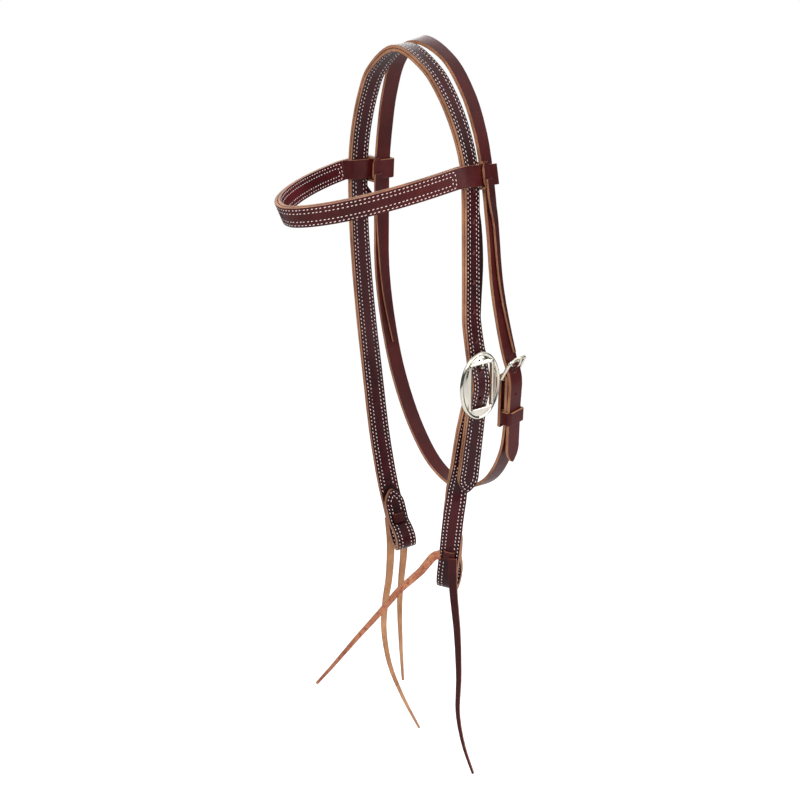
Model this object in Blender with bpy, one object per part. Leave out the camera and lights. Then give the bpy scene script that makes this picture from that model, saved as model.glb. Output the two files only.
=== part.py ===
"""Western headstall: a doubled and stitched crown strap with one cart buckle, a browband tied round
the crown and throat straps, a throat strap with its own small buckle, and tied bit ends.

Metres, +Z up. +X is the horse's near (left) side, -Y is the front. The origin is the underside of
the crown strap at the poll.
"""
import math
from collections import namedtuple

import bmesh
import bpy
from mathutils import Matrix, Vector

for old in list(bpy.data.objects):
    bpy.data.objects.remove(old, do_unlink=True)

# Clearance between pieces that touch, and how far a cutter reaches past what it cuts
GAP = 0.0003
OVERRUN = 0.003

# How finely curved straps are divided
SPLINE_STEPS = 24
BEND_STEP = math.radians(13)
TWIST_STEP = math.radians(4)
FLATNESS = 0.00008
ARC_STEPS = 8

# Head shape that the crown and cheeks follow
HEAD_HALF_WIDTH = 0.075
CHEEK_DROP = 0.440
REAR_SLANT = 0.025

# Doubled and stitched crown and cheek leather
STRAP_WIDTH = 0.019
PLY = 0.0026
STRAP_THICK = 2 * PLY + GAP
TIP_LENGTH = 0.014
NEAR_SLIT_DROP = 0.448
FAR_SLIT_DROP = 0.432
NEAR_SLIT_TURN = 60
FAR_SLIT_TURN = 20

# Bit loop at each end: its length below the tie, its depth, and the tab above the tie
NEAR_LOOP_LENGTH = 0.040
FAR_LOOP_LENGTH = 0.031
LOOP_DEPTH = 0.0155
TAB_RISE = 0.028

# Cart buckle on the near cheek
BUCKLE_DROP = 0.277
PLATE_WIDTH = 0.0435
PLATE_HEIGHT = 0.061
PLATE_THICK = 0.0036
WINDOW_WIDTH = 0.0225
WINDOW_HEIGHT = 0.039
BAR_BELOW_CENTRE = 0.002
BAR_RADIUS = 0.0017
LUG_WIDTH = 0.0028
LUG_HEIGHT = 0.0046
HOOK_RADIUS = 0.0015
HOOK_BELOW_EDGE = 0.0055
PLATE_CLEARANCE = 0.0013
BILLET_RISE = 0.0055
BILLET_BOW = 0.054
BILLET_FALL = 0.006
BILLET_LENGTH = 0.104
FOLD_RETURN = 0.016
FOLD_START = 0.001
HOLE_RADIUS = 0.0021
HOLE_PITCH = 0.0254
HOLES_ABOVE = 6
HOLES_BELOW = 1

# Throat strap: its fold, billet and stub hang from the heel bar of its buckle
THROAT_WIDTH = 0.016
THROAT_PLY = 0.0032
THROAT_REACH = 0.076
THROAT_DROP = 0.403
THROAT_BAR_DROP = 0.277
THROAT_BAR_OUT = 0.080
THROAT_BAR_BACK = 0.056
THROAT_STRAIGHT = 0.046
STUB_LENGTH = 0.048
THROAT_BILLET_LENGTH = 0.082
THROAT_BAR_TURN = -8
THROAT_HOLE_LENGTH = 0.0098
THROAT_HOLE_WIDTH = 0.0036
THROAT_HOLE_RISE = 0.0105
THROAT_HOLE_PITCH = 0.0254
EYE_SLOT_ABOVE = 0.006
EYE_SLOT_BELOW = 0.005
EYE_SLOT_WIDTH = 0.0041

# Throat buckle and keeper
FRAME_WIRE_RADIUS = 0.0015
FRAME_RISE = 0.0215
FRAME_LEAN = math.radians(26)
FRAME_HALF_WIDTH = 0.0110
FRAME_FOOT_RADIUS = 0.0022
FRAME_TOP_RADIUS = 0.0050
TONGUE_WIDTH = 0.0024
TONGUE_THICK = 0.0018
TONGUE_EYE_START = -120
TONGUE_EYE_TURN = 248
KEEPER_DROP = 0.0365
KEEPER_HEIGHT = 0.012
KEEPER_THICK = 0.0022
KEEPER_CLEARANCE = 0.0006

# Browband, folded back round the crown and throat straps at both ends
BROW_DROP = 0.099
BROW_SEAT_DROP = 0.100
BROW_WIDTH = 0.0175
BROW_PLY = 0.0026
BROW_HALF_WIDTH = 0.0776
BROW_REACH = 0.1335
BROW_FOLD_BACK = 0.016
BROW_DROOP = 0.034
BROW_TILT = math.radians(24)
BROW_END_ANGLE = math.radians(82)
BROW_STEPS = 48
BROW_CLEARANCE = 0.0008
BROW_ACROSS_POWER_SHARE = 1.14
BROW_FORWARD_POWER_SHARE = 0.90

# Ties round the browband's ends, and their tails
TIE_WIDTH = 0.009
TIE_NECK_WIDTH = 0.0050
TIE_THICK = 0.0022
TIE_LEG_SHARE = 0.6
TIE_LAP = 0.006
TIE_TAIL_WIDTH = 0.0085
TIE_POINT_WIDTH = 0.0022
TAIL_CLEARANCE = 0.0008
INNER_TAIL_DROP = 0.138

# Laces that tie the bit loops shut
LACE_WIDTH = 0.0085
LACE_THICK = 0.0022
LACE_HALF_SPAN = 0.0048
LACE_EXIT_SHARE = 0.7
LACE_POINT_WIDTH = 0.0022
NEAR_FRONT_REACH = 0.122
NEAR_FRONT_HEADING = math.radians(-107)
NEAR_HANGING_DROP = 0.2145
FAR_FRONT_DROP = 0.232
FAR_REAR_DROP = 0.177

# Side lines of the crown strap, from the poll down to the bit tie. Columns: drop as a share of
# CHEEK_DROP, half width of HEAD_HALF_WIDTH, set-back of REAR_SLANT, turn in degrees. The near side
# stands out at its buckle
TOP_LINE_SHARES = ((0.036, 0.473, 0.06), (0.082, 0.687, 0.18), (0.150, 0.880, 0.32),
                   (0.220, 0.987, 0.42), (0.334, 1.007, 0.47))
TOP_NEAR_TURNS = (-2, -5, -9, -12, -12)
FAR_LINE_SHARES = ((0.448, 0.987, 0.56, 3), (0.561, 0.947, 0.68, 6), (0.675, 0.860, 0.75, 13),
                   (0.789, 0.765, 0.80, 16), (0.902, 0.630, 0.88, 20))
NEAR_LINE_SHARES = ((0.448, 0.993, 0.57, -9), (0.561, 0.962, 0.74, -3), (0.641, 0.942, 0.90, 4),
                    (0.740, 0.857, 0.90, 8), (0.818, 0.767, 0.90, 14), (0.902, 0.640, 0.92, 36))
NEAR_SLIT_HALF_SHARE = 0.525
FAR_SLIT_HALF_SHARE = 0.51

# Bit loop below the tie: down as a share of the loop's length, inwards as a share of LOOP_DEPTH
LOOP_SHARES = (
    (0.30, -0.04), (0.58, -0.05), (0.80, 0.10), (0.90, 0.45), (0.82, 0.84),
    (0.60, 1.00), (0.36, 0.80),
)

# Throat strap from its fold under the jaw, up the far side and over the poll to the near side.
# Columns: drop as a share of THROAT_DROP, across of HEAD_HALF_WIDTH, back of THROAT_REACH, turn
THROAT_LOWER_SHARES = (
    (0.868, 0.920, 0.86, 0), (0.945, 0.620, 0.92, 0), (0.985, 0.230, 0.97, 0),
    (0.995, -0.120, 1.00, 0), (0.960, -0.480, 0.97, 0), (0.880, -0.790, 0.91, 0),
    (0.750, -1.010, 0.79, 0), (0.613, -1.085, 0.67, 0), (0.489, -1.045, 0.55, 0),
)
THROAT_SIDE_SHARES = (
    (0.365, 0.990, 0.500), (0.241, 0.920, 0.457), (0.166, 0.835, 0.430),
    (0.0895, 0.688, 0.380), (0.018, 0.430, 0.310),
)
THROAT_SIDE_TURNS = (-14, -13, -10, -6, -2)
THROAT_TOP_BACK_SHARE = 0.252
# The photo shows both straps with their rear edges raised where they cross the poll
POLL_RISE = 0.002
POLL_TILT = 8
THROAT_TOP_RISE = 0.0085
THROAT_TOP_TILT = 18
THROAT_NEAR_LAST_SHARES = (0.489, 1.030, 0.550, -12)
# Where the stub's and the straight run's knots lie, as shares of their lengths from the heel bar
THROAT_STUB_SHARES = (1.0, 0.5, 0.1)
THROAT_STRAIGHT_SHARES = (0.3, 0.6, 0.9)

# Throat buckle's tongue past its eye: above the heel bar and out of it as shares of FRAME_RISE
TONGUE_SHARES = ((0.250, 0.078), (0.372, 0.115), (0.488, 0.233), (0.558, 0.395), (0.698, 0.512),
                 (0.898, 0.563), (1.070, 0.572))

# Billet of the throat strap: distance below the heel bar as a share of THROAT_BILLET_LENGTH,
# and its place out of the stub as a share of the two plies it ends up over
THROAT_BILLET_SHARES = ((-0.52, -1.08), (-0.235, -0.08), (0.0, 1.0), (0.34, 1.0), (1.0, 1.0))

# Tails hanging over or inside the throat strap: drop as a share of THROAT_DROP, rearward place
# as a share of THROAT_WIDTH
NEAR_OUTER_TAIL_SHARES = ((0.345, 0.02), (0.42, 0.05), (0.52, 0.14), (0.58, 0.20), (0.628, 0.26))
FAR_OUTER_TAIL_SHARES = ((0.345, -0.05), (0.45, 0.05), (0.57, 0.22), (0.69, 0.45))
FAR_INNER_TAIL_SHARES = ((0.345, -0.35), (0.45, -0.20), (0.56, -0.12), (0.665, 0.0))
# Near inner tail: down as a share of INNER_TAIL_DROP, rearward as a share of THROAT_WIDTH
NEAR_INNER_TAIL_SHARES = ((0.12, 0.62), (0.40, 1.05), (0.70, 0.98), (1.0, 0.92))

# Lace tails: down and across as shares of each tail's own length
NEAR_FRONT_SHARES = ((0.006, 0.05), (0.11, 0.16), (0.23, 0.33), (0.375, 0.48), (0.55, 0.67),
                     (0.76, 0.885), (0.865, 1.0))
NEAR_HANGING_SHARES = ((0.135, 0.005), (0.33, 0.025), (0.54, 0.035), (0.72, 0.033), (0.87, 0.061),
                       (1.0, 0.107))
FAR_FRONT_SHARES = ((0.11, 0.008), (0.27, 0.000), (0.37, -0.016), (0.50, -0.024), (0.67, 0.002),
                    (0.83, 0.060), (1.0, 0.140))
FAR_REAR_SHARES = ((0.10, 0.030), (0.22, 0.034), (0.35, 0.022), (0.52, 0.010), (0.77, 0.016),
                   (1.0, 0.030))

# Strap tip: distance from the end as a share of TIP_LENGTH, width as a share of the full width
TIP_SHARES = ((0.0, 0.10), (0.12, 0.34), (0.45, 0.74), (0.75, 0.94), (1.0, 1.0))

Frame = namedtuple("Frame", "point along side out")
UP = Vector((0.0, 0.0, 1.0))


def material(name, colour, roughness, metallic=0.0):
    """A plain Principled material in a linear colour."""
    made = bpy.data.materials.new(name)
    made.use_nodes = True
    shader = made.node_tree.nodes["Principled BSDF"]
    shader.inputs["Base Color"].default_value = (*colour, 1.0)
    shader.inputs["Roughness"].default_value = roughness
    shader.inputs["Metallic"].default_value = metallic
    made.diffuse_color = (*colour, 1.0)
    return made


BURGUNDY = material("burgundy_latigo", (0.060, 0.012, 0.014), 0.45)
DARK_LACE = material("burgundy_lace", (0.075, 0.018, 0.018), 0.50)
TAN_LACE = material("flesh_side_lace", (0.42, 0.20, 0.11), 0.80)
SILVER = material("polished_nickel", (0.80, 0.79, 0.76), 0.14, 1.0)


def place(frame, along=0.0, side=0.0, out=0.0):
    """A point given along, across and out of a strap from one of its frames."""
    return frame.point + frame.along * along + frame.side * side + frame.out * out


def squared(point, along, side):
    """A frame whose side is made square to its direction."""
    along = along.normalized()
    side = (side - along * side.dot(along)).normalized()
    return Frame(point, along, side, along.cross(side))


def framed(samples):
    """Frames along (point, side) samples: out is the strap's outer face."""
    last = len(samples) - 1
    frames = []
    for index, (point, side) in enumerate(samples):
        before = samples[max(index - 1, 0)][0]
        after = samples[min(index + 1, last)][0]
        frames.append(squared(point, after - before, side))
    return frames


def turned_back(frame):
    """The same place on the strap, run the other way, with its outer face kept."""
    return Frame(frame.point, -frame.along, -frame.side, frame.out)


def curve_point(points, times, now):
    """One point of a Catmull-Rom span, by Barry and Goldman's three rounds of blending."""
    def blend(one, two, low, high):
        return one.lerp(two, (now - low) / (high - low))

    first = [blend(points[i], points[i + 1], times[i], times[i + 1]) for i in range(3)]
    second = [blend(first[i], first[i + 1], times[i], times[i + 2]) for i in range(2)]
    return blend(second[0], second[1], times[1], times[2])


def spline(knots):
    """Dense (point, side) samples on a centripetal Catmull-Rom curve through the knots."""
    before = (2 * knots[0][0] - knots[1][0], knots[0][1])
    after = (2 * knots[-1][0] - knots[-2][0], knots[-1][1])
    every = [before] + list(knots) + [after]
    samples = []
    for first in range(len(every) - 3):
        four = [knot[0] for knot in every[first:first + 4]]
        times = [0.0]
        for one, two in zip(four, four[1:]):
            times.append(times[-1] + math.sqrt((two - one).length))
        for step in range(SPLINE_STEPS):
            share = step / SPLINE_STEPS
            now = times[1] + (times[2] - times[1]) * share
            side = every[first + 1][1].lerp(every[first + 2][1], share)
            samples.append((curve_point(four, times, now), side))
    samples.append(knots[-1])
    return samples


def stations(frames):
    """Distance run at each frame."""
    run = [0.0]
    for one, two in zip(frames, frames[1:]):
        run.append(run[-1] + (two.point - one.point).length)
    return run


def frame_at(frames, distance):
    """The frame a given distance along, between its neighbours."""
    run = stations(frames)
    index = 0
    while index < len(run) - 2 and distance > run[index + 1]:
        index += 1
    share = (distance - run[index]) / (run[index + 1] - run[index])
    one, two = frames[index], frames[index + 1]
    return squared(one.point.lerp(two.point, share), one.along.lerp(two.along, share),
                   one.side.lerp(two.side, share))


def at_drop(frames, drop):
    """The frame nearest a given drop below the poll."""
    return min(frames, key=lambda frame: abs(frame.point.z + drop))


def between(frames, start, end):
    """The stretch of frames between two distances, with exact ends."""
    inside = [frame for frame, at in zip(frames, stations(frames)) if start < at < end]
    return [frame_at(frames, start)] + inside + [frame_at(frames, end)]


def beneath(frames, out):
    """The same frames moved out by a ply's offset, so that two plies share their planes."""
    return [frame._replace(point=place(frame, out=out)) for frame in frames]


def thinned(frames):
    """Only the frames that the strap's bends and twist need to stay within FLATNESS."""
    kept = [0]
    for index in range(2, len(frames)):
        start, end = frames[kept[-1]], frames[index]
        run = end.point - start.point
        turns = (start.along.angle(end.along) > BEND_STEP
                 or start.side.angle(end.side) > TWIST_STEP)
        strays = any((frame.point - start.point).cross(run).length > FLATNESS * run.length
                     for frame in frames[kept[-1] + 1:index])
        if strays or turns:
            kept.append(index - 1)
    return [frames[index] for index in kept] + [frames[-1]]


def joint_at(name, point, parent=None):
    """An empty on a joint's axis, which carries the pieces that move with it."""
    empty = bpy.data.objects.new(name, None)
    empty.location = point - joint_point(parent)
    empty.parent = parent
    bpy.context.collection.objects.link(empty)
    return empty


def joint_point(joint):
    """Where a joint's empty stands, through the empties that carry it."""
    point = Vector((0.0, 0.0, 0.0))
    while joint is not None:
        point += joint.location
        joint = joint.parent
    return point


def finish(name, builder, surface, joint=None):
    """Turns a bmesh into a named object, placed from its joint's empty if it has one."""
    bmesh.ops.recalc_face_normals(builder, faces=builder.faces)
    bmesh.ops.translate(builder, verts=builder.verts, vec=-joint_point(joint))
    mesh = bpy.data.meshes.new(name)
    builder.to_mesh(mesh)
    builder.free()
    mesh.materials.append(surface)
    made = bpy.data.objects.new(name, mesh)
    made.parent = joint
    bpy.context.collection.objects.link(made)
    return made


def tube_of(rings, closed=False):
    """A bmesh skin over rings of points, capped at its ends unless it closes on itself.

    Its four-sided gaps are all split along the same diagonal, so that plies lie parallel."""
    builder = bmesh.new()
    rows = [[builder.verts.new(point) for point in ring] for ring in rings]
    pairs = list(zip(rows, rows[1:]))
    if closed:
        pairs.append((rows[-1], rows[0]))
    else:
        builder.faces.new(rows[0])
        builder.faces.new(rows[-1])
    for one, two in pairs:
        for index in range(len(one)):
            after = (index + 1) % len(one)
            builder.faces.new((one[index], one[after], two[after]))
            builder.faces.new((one[index], two[after], two[index]))
    return builder


def swept(frames, width_at, thickness):
    """A flat strap along its frames, as wide at each distance as width_at says."""
    rings = []
    for frame, distance in zip(frames, stations(frames)):
        half = width_at(distance) / 2
        lift = thickness / 2
        rings.append([place(frame, side=side, out=out) for side, out in
                      ((-half, -lift), (half, -lift), (half, lift), (-half, lift))])
    return tube_of(rings)


def tip_width(share):
    """Width share at a share of the tip's length."""
    for (low, low_width), (high, high_width) in zip(TIP_SHARES, TIP_SHARES[1:]):
        if share <= high:
            return low_width + (high_width - low_width) * (share - low) / (high - low)
    return 1.0


def cut_out(frames, tips):
    """The frames a strap needs, with those of a pointed tip at either end where asked."""
    total = stations(frames)[-1]
    marks = [share * TIP_LENGTH for share, _ in TIP_SHARES]
    start = marks[-1] if tips[0] else 0.0
    end = total - marks[-1] if tips[1] else total
    kept = thinned(between(frames, start, end))
    if tips[0]:
        kept = [frame_at(frames, mark) for mark in marks[:-1]] + kept
    if tips[1]:
        kept = kept + [frame_at(frames, total - mark) for mark in reversed(marks[:-1])]
    return kept


def strap(name, frames, width, thickness, surface, tips=(False, False), joint=None):
    """A strap of even width on cut_out's frames, narrowing to its tips."""
    length = stations(frames)[-1]

    def width_at(distance):
        share = 1.0
        if tips[0]:
            share = min(share, tip_width(distance / TIP_LENGTH))
        if tips[1]:
            share = min(share, tip_width((length - distance) / TIP_LENGTH))
        return width * share

    return finish(name, swept(frames, width_at, thickness), surface, joint)


def tapered(name, knots, wide, narrow, thickness, surface, joint=None):
    """A lace tail through its knots that narrows evenly to its point."""
    kept = thinned(framed(spline(knots)))
    total = stations(kept)[-1]
    return finish(name, swept(kept, lambda at: wide + (narrow - wide) * at / total, thickness),
                  surface, joint)


def band_ring(name, frame, corners, thickness, surface, joint=None):
    """A band closed round corners, each given across, out and with the band's width there."""
    middle_side = sum(side for side, _, _ in corners) / len(corners)
    middle_out = sum(out for _, out, _ in corners) / len(corners)
    rings = []
    for side, out, height in corners:
        far_side = side + math.copysign(thickness, side - middle_side)
        far_out = out + math.copysign(thickness, out - middle_out)
        rings.append([place(frame, along, s, o) for s, o, along in
                      ((side, out, -height / 2), (far_side, far_out, -height / 2),
                       (far_side, far_out, height / 2), (side, out, height / 2))])
    return finish(name, tube_of(rings, closed=True), surface, joint)


def block(builder, frame, centre, size):
    """Adds a box, its centre and size given along, across and out of a strap."""
    along, side, out = centre
    turned = Matrix((frame.side, frame.along, -frame.out)).transposed().to_4x4()
    scale = Matrix.Diagonal((size[1], size[0], size[2], 1.0))
    where = Matrix.Translation(place(frame, along, side, out))
    bmesh.ops.create_cube(builder, size=1.0, matrix=where @ turned @ scale)


def rod(builder, start, end, radius, sides=12):
    """Adds a round bar between two points."""
    run = end - start
    turn = run.to_track_quat("Z", "Y").to_matrix().to_4x4()
    bmesh.ops.create_cone(builder, cap_ends=True, segments=sides, radius1=radius, radius2=radius,
                          depth=run.length, matrix=Matrix.Translation((start + end) / 2) @ turn)


def combine(target, builder, name, operation):
    """Adds a builder's closed bodies to an object, or takes them away."""
    tool = finish(name, builder, SILVER)
    tool.hide_render = True
    tool.display_type = "WIRE"
    change = target.modifiers.new(name, "BOOLEAN")
    change.operation = operation
    change.solver = "EXACT"
    change.object = tool


def rearward(turn):
    """A strap's front-to-rear direction for a turn in degrees."""
    return Vector((math.sin(math.radians(turn)), math.cos(math.radians(turn)), 0.0))


def raised_rear(tilt):
    """The front-to-rear direction over the poll, its rear raised by a tilt in degrees."""
    return Vector((0.0, math.cos(math.radians(tilt)), math.sin(math.radians(tilt))))


def side_knots(mirror, rows, slit_half, slit_drop, slit_turn):
    """Knots of one side of the crown line, from beside the poll down to the tie slits."""
    knots = []
    for drop, half, back, turn in (*rows, (slit_drop / CHEEK_DROP, slit_half, 1.0, slit_turn)):
        knots.append((Vector((mirror * half * HEAD_HALF_WIDTH, back * REAR_SLANT,
                              STRAP_THICK / 2 - drop * CHEEK_DROP)), rearward(turn)))
    return knots


def straight_behind_plate(knots):
    """The near knots, with a straight untwisted stretch where the buckle's window lies."""
    plate_frame = at_drop(framed(spline(knots)), BUCKLE_DROP)
    reach = WINDOW_HEIGHT / 2
    beyond = reach + OVERRUN
    room = beyond + OVERRUN
    above = [knot for knot in knots if knot[0].z > plate_frame.point.z + room]
    below = [knot for knot in knots if knot[0].z < plate_frame.point.z - room]
    flat = [(place(plate_frame, along=along), plate_frame.side)
            for along in (-beyond, -reach, 0.0, reach, beyond)]
    return above + flat + below


def bit_loop(line, length):
    """Knots of the loop below a strap that runs down, and of the tab pressed to its inner face."""
    slit = line[-1]
    total = stations(line)[-1]
    pressed = -(STRAP_THICK + GAP)
    knots = [(place(slit, along=down * length, out=-inward * LOOP_DEPTH), slit.side)
             for down, inward in LOOP_SHARES]
    knots.append((place(slit, along=LACE_WIDTH / 2, out=pressed - 2 * GAP), slit.side))
    for up in (LACE_WIDTH / 2, TAB_RISE / 2, TAB_RISE):
        frame = frame_at(line, total - up)
        knots.append((place(frame, out=pressed - GAP), frame.side))
    return knots


poll_knot = (Vector((0.0, 0.0, STRAP_THICK / 2 + POLL_RISE)), raised_rear(POLL_TILT))
near_top = [(*row, turn) for row, turn in zip(TOP_LINE_SHARES, TOP_NEAR_TURNS)]
far_top = [(*row, 0) for row in TOP_LINE_SHARES]
near_knots = side_knots(1, near_top + list(NEAR_LINE_SHARES), NEAR_SLIT_HALF_SHARE, NEAR_SLIT_DROP,
                        NEAR_SLIT_TURN)
far_knots = side_knots(-1, far_top + list(FAR_LINE_SHARES), FAR_SLIT_HALF_SHARE, FAR_SLIT_DROP,
                       FAR_SLIT_TURN)
near_knots = straight_behind_plate([poll_knot] + near_knots)[1:]
whole_line = framed(spline(far_knots[::-1] + [poll_knot] + near_knots))
poll_index = min(range(len(whole_line)), key=lambda i: abs(whole_line[i].point.x))
near_line = whole_line[poll_index:]
far_line = [turned_back(frame) for frame in whole_line[poll_index::-1]]
near_slit = near_line[-1]
far_slit = far_line[-1]
near_run = stations(near_line)
plate_run = near_run[near_line.index(at_drop(near_line, BUCKLE_DROP))]
plate = frame_at(near_line, plate_run)

# Half of what the billet and the cheek behind it share, either side of the near line
OVER_CHEEK = (STRAP_THICK + 2 * GAP) / 2
PLY_OFFSET = (PLY + GAP) / 2


def eased(share):
    """0 to 1 with level ends, for a share that may lie outside them."""
    share = min(max(share, 0.0), 1.0)
    return share * share * (3 - 2 * share)


def bow(past):
    """How far the heel bar's fold pushes the straps out, past the plate's centre."""
    return BILLET_RISE * math.cos(math.pi * min(abs(past) / BILLET_BOW, 0.5)) ** 2


def billet_lift(past):
    """How far the billet stands out of the near line, past the plate's centre."""
    return OVER_CHEEK * eased((past + PLATE_HEIGHT) / (PLATE_HEIGHT / 2)) + bow(past)


def cheek_sink(past):
    """How far the cheek stands out of the near line: behind it until the billet has ended."""
    return bow(past) - OVER_CHEEK * (1 - eased((past - BILLET_LENGTH) / TIP_LENGTH))


plate_back = OVER_CHEEK + STRAP_THICK / 2 + PLATE_CLEARANCE
plate_front = plate_back + PLATE_THICK
bar_out = cheek_sink(BAR_BELOW_CENTRE) + PLY_OFFSET - PLY / 2 - GAP - BAR_RADIUS
hook_along = HOOK_BELOW_EDGE - WINDOW_HEIGHT / 2
hook_out = billet_lift(hook_along + HOOK_RADIUS) + STRAP_THICK / 2 + GAP + HOOK_RADIUS


def crown_route():
    """The doubled crown strap from the far tab's tip over the poll to the near billet's tip."""
    loop = spline([(far_slit.point, far_slit.side)] + bit_loop(far_line, FAR_LOOP_LENGTH))
    samples = [(point, -side) for point, side in reversed(loop)]
    samples += [(frame.point, -frame.side) for frame in far_line[-2:0:-1]]
    free = WINDOW_HEIGHT / 2 + OVERRUN / 2
    for frame, run in zip(near_line, near_run):
        past = run - plate_run
        if past < free:
            samples.append((place(frame, out=billet_lift(past)), frame.side))
    leaving = frame_at(near_line, plate_run + free)
    for step in range(SPLINE_STEPS + 1):
        past = free + (BILLET_LENGTH - free) * step / SPLINE_STEPS
        fall = BILLET_FALL * (past - free) / (BILLET_LENGTH - free)
        samples.append((place(leaving, along=past - free, out=billet_lift(free) - fall),
                        frame_at(near_line, plate_run + past).side))
    return framed(samples)


def cheek_route():
    """The doubled near cheek from the heel bar down to the tab's tip."""
    samples = []
    for frame, run in zip(near_line, near_run):
        past = run - plate_run
        if past > BAR_BELOW_CENTRE + FOLD_START:
            samples.append((place(frame, out=cheek_sink(past)), frame.side))
    loop = spline([(near_slit.point, near_slit.side)] + bit_loop(near_line, NEAR_LOOP_LENGTH))
    return framed(samples + loop[1:])


def fold_frames():
    """The cheek's outer ply where it comes up behind, round the heel bar and down in front."""
    radius = BAR_RADIUS + GAP + PLY / 2
    end_out = cheek_sink(BAR_BELOW_CENTRE + FOLD_RETURN) - PLY_OFFSET
    knots = []
    for step in range(ARC_STEPS // 2):
        share = 1 - step / (ARC_STEPS // 2)
        knots.append((place(plate, along=BAR_BELOW_CENTRE + FOLD_RETURN * share,
                            out=bar_out - radius + (end_out - bar_out + radius) * share), plate.side))
    for step in range(ARC_STEPS + 1):
        angle = math.pi * (1 - step / ARC_STEPS)
        knots.append((place(plate, along=BAR_BELOW_CENTRE - radius * math.sin(angle),
                            out=bar_out + radius * math.cos(angle)), plate.side))
    return framed(knots)


def slit_cutter(slit):
    """Two slits through the strap and its tab, for the lace's legs."""
    builder = bmesh.new()
    deep = 2 * STRAP_THICK + 2 * OVERRUN
    for side in (-LACE_HALF_SPAN, LACE_HALF_SPAN):
        block(builder, slit, (0.0, side, -OVER_CHEEK),
              (LACE_WIDTH + 4 * GAP, LACE_THICK + 4 * GAP, deep))
    return builder


def hole_cutter():
    """The billet's row of adjustment holes, the hook's among them."""
    builder = bmesh.new()
    for step in range(-HOLES_ABOVE, HOLES_BELOW + 1):
        past = hook_along + step * HOLE_PITCH
        frame = frame_at(near_line, plate_run + past)
        lift = billet_lift(past)
        reach = STRAP_THICK / 2 + OVERRUN
        rod(builder, place(frame, out=lift - reach), place(frame, out=lift + reach), HOLE_RADIUS, 8)
    return builder


def make_crown():
    """Both plies of the crown strap, with billet holes and the far tie's slits."""
    route = cut_out(crown_route(), (True, True))
    for name, offset in (("crown_outer_ply", PLY_OFFSET), ("crown_lining_ply", -PLY_OFFSET)):
        ply = strap(name, beneath(route, offset), STRAP_WIDTH, PLY, BURGUNDY, (True, True))
        combine(ply, hole_cutter(), name + "_holes", "DIFFERENCE")
        combine(ply, slit_cutter(far_slit), name + "_slits", "DIFFERENCE")


def make_cheek(joint):
    """Both plies of the near cheek, folded over the heel bar and round the bit loop."""
    route = cut_out(cheek_route(), (False, True))
    outer = strap("near_cheek_outer_ply", fold_frames() + beneath(route, PLY_OFFSET), STRAP_WIDTH,
                  PLY, BURGUNDY, (False, True), joint)
    begin = FOLD_RETURN + PLY / 2 - FOLD_START
    below = [frame_at(route, begin)]
    below += [frame for frame, run in zip(route, stations(route)) if run > begin + GAP]
    lining = strap("near_cheek_lining_ply", beneath(below, -PLY_OFFSET), STRAP_WIDTH, PLY, BURGUNDY,
                   (False, True), joint)
    for ply in (outer, lining):
        combine(ply, slit_cutter(near_slit), ply.name + "_slits", "DIFFERENCE")


def oval(builder, frame, half_width, half_height, low, high, steps):
    """A flat oval disc between two heights out of a frame."""
    rings = []
    for out in (low, high):
        rings.append([builder.verts.new(place(
            frame, along=half_height * math.sin(2 * math.pi * step / steps),
            side=half_width * math.cos(2 * math.pi * step / steps), out=out))
            for step in range(steps)])
    builder.faces.new(rings[0])
    builder.faces.new(rings[1])
    for step in range(steps):
        after = (step + 1) % steps
        builder.faces.new((rings[0][step], rings[0][after], rings[1][after], rings[1][step]))
    bmesh.ops.recalc_face_normals(builder, faces=builder.faces)


def make_cart_buckle():
    """Oval plate with its window, two lugs with the heel bar behind it, and the fixed hook."""
    builder = bmesh.new()
    oval(builder, plate, PLATE_WIDTH / 2, PLATE_HEIGHT / 2, plate_back, plate_front, 5 * ARC_STEPS)
    rim = [edge for edge in builder.edges
           if all((vert.co - place(plate, out=plate_front)).dot(plate.out) > -GAP
                  for vert in edge.verts)]
    bmesh.ops.bevel(builder, geom=rim, offset=PLATE_THICK / 3, segments=1, profile=0.5,
                    affect="EDGES", clamp_overlap=True, material=-1)
    buckle = finish("cheek_buckle", builder, SILVER)
    window = bmesh.new()
    block(window, plate, (0.0, 0.0, plate_back + PLATE_THICK / 2),
          (WINDOW_HEIGHT, WINDOW_WIDTH, PLATE_THICK + 2 * OVERRUN))
    combine(buckle, window, "buckle_window", "DIFFERENCE")
    lug_side = STRAP_WIDTH / 2 + 2 * GAP + LUG_WIDTH / 2
    lug_back = bar_out - BAR_RADIUS
    lug_front = plate_back + PLATE_THICK / 2
    for name, side in (("front_lug", -lug_side), ("rear_lug", lug_side)):
        lug = bmesh.new()
        block(lug, plate, (BAR_BELOW_CENTRE, side, (lug_front + lug_back) / 2),
              (LUG_HEIGHT, LUG_WIDTH, lug_front - lug_back))
        combine(buckle, lug, name, "UNION")
    bar = bmesh.new()
    rod(bar, place(plate, BAR_BELOW_CENTRE, -lug_side, bar_out),
        place(plate, BAR_BELOW_CENTRE, lug_side, bar_out), BAR_RADIUS)
    combine(buckle, bar, "heel_bar", "UNION")
    neck = bmesh.new()
    rod(neck, place(plate, -WINDOW_HEIGHT / 2 - HOOK_BELOW_EDGE, 0.0, hook_out),
        place(plate, hook_along + HOOK_RADIUS / 2, 0.0, hook_out), HOOK_RADIUS)
    combine(buckle, neck, "hook_neck", "UNION")
    peg = bmesh.new()
    rod(peg, place(plate, hook_along, 0.0, billet_lift(hook_along) - STRAP_THICK / 2),
        place(plate, hook_along, 0.0, hook_out), HOOK_RADIUS)
    combine(buckle, peg, "hook_peg", "UNION")


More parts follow.
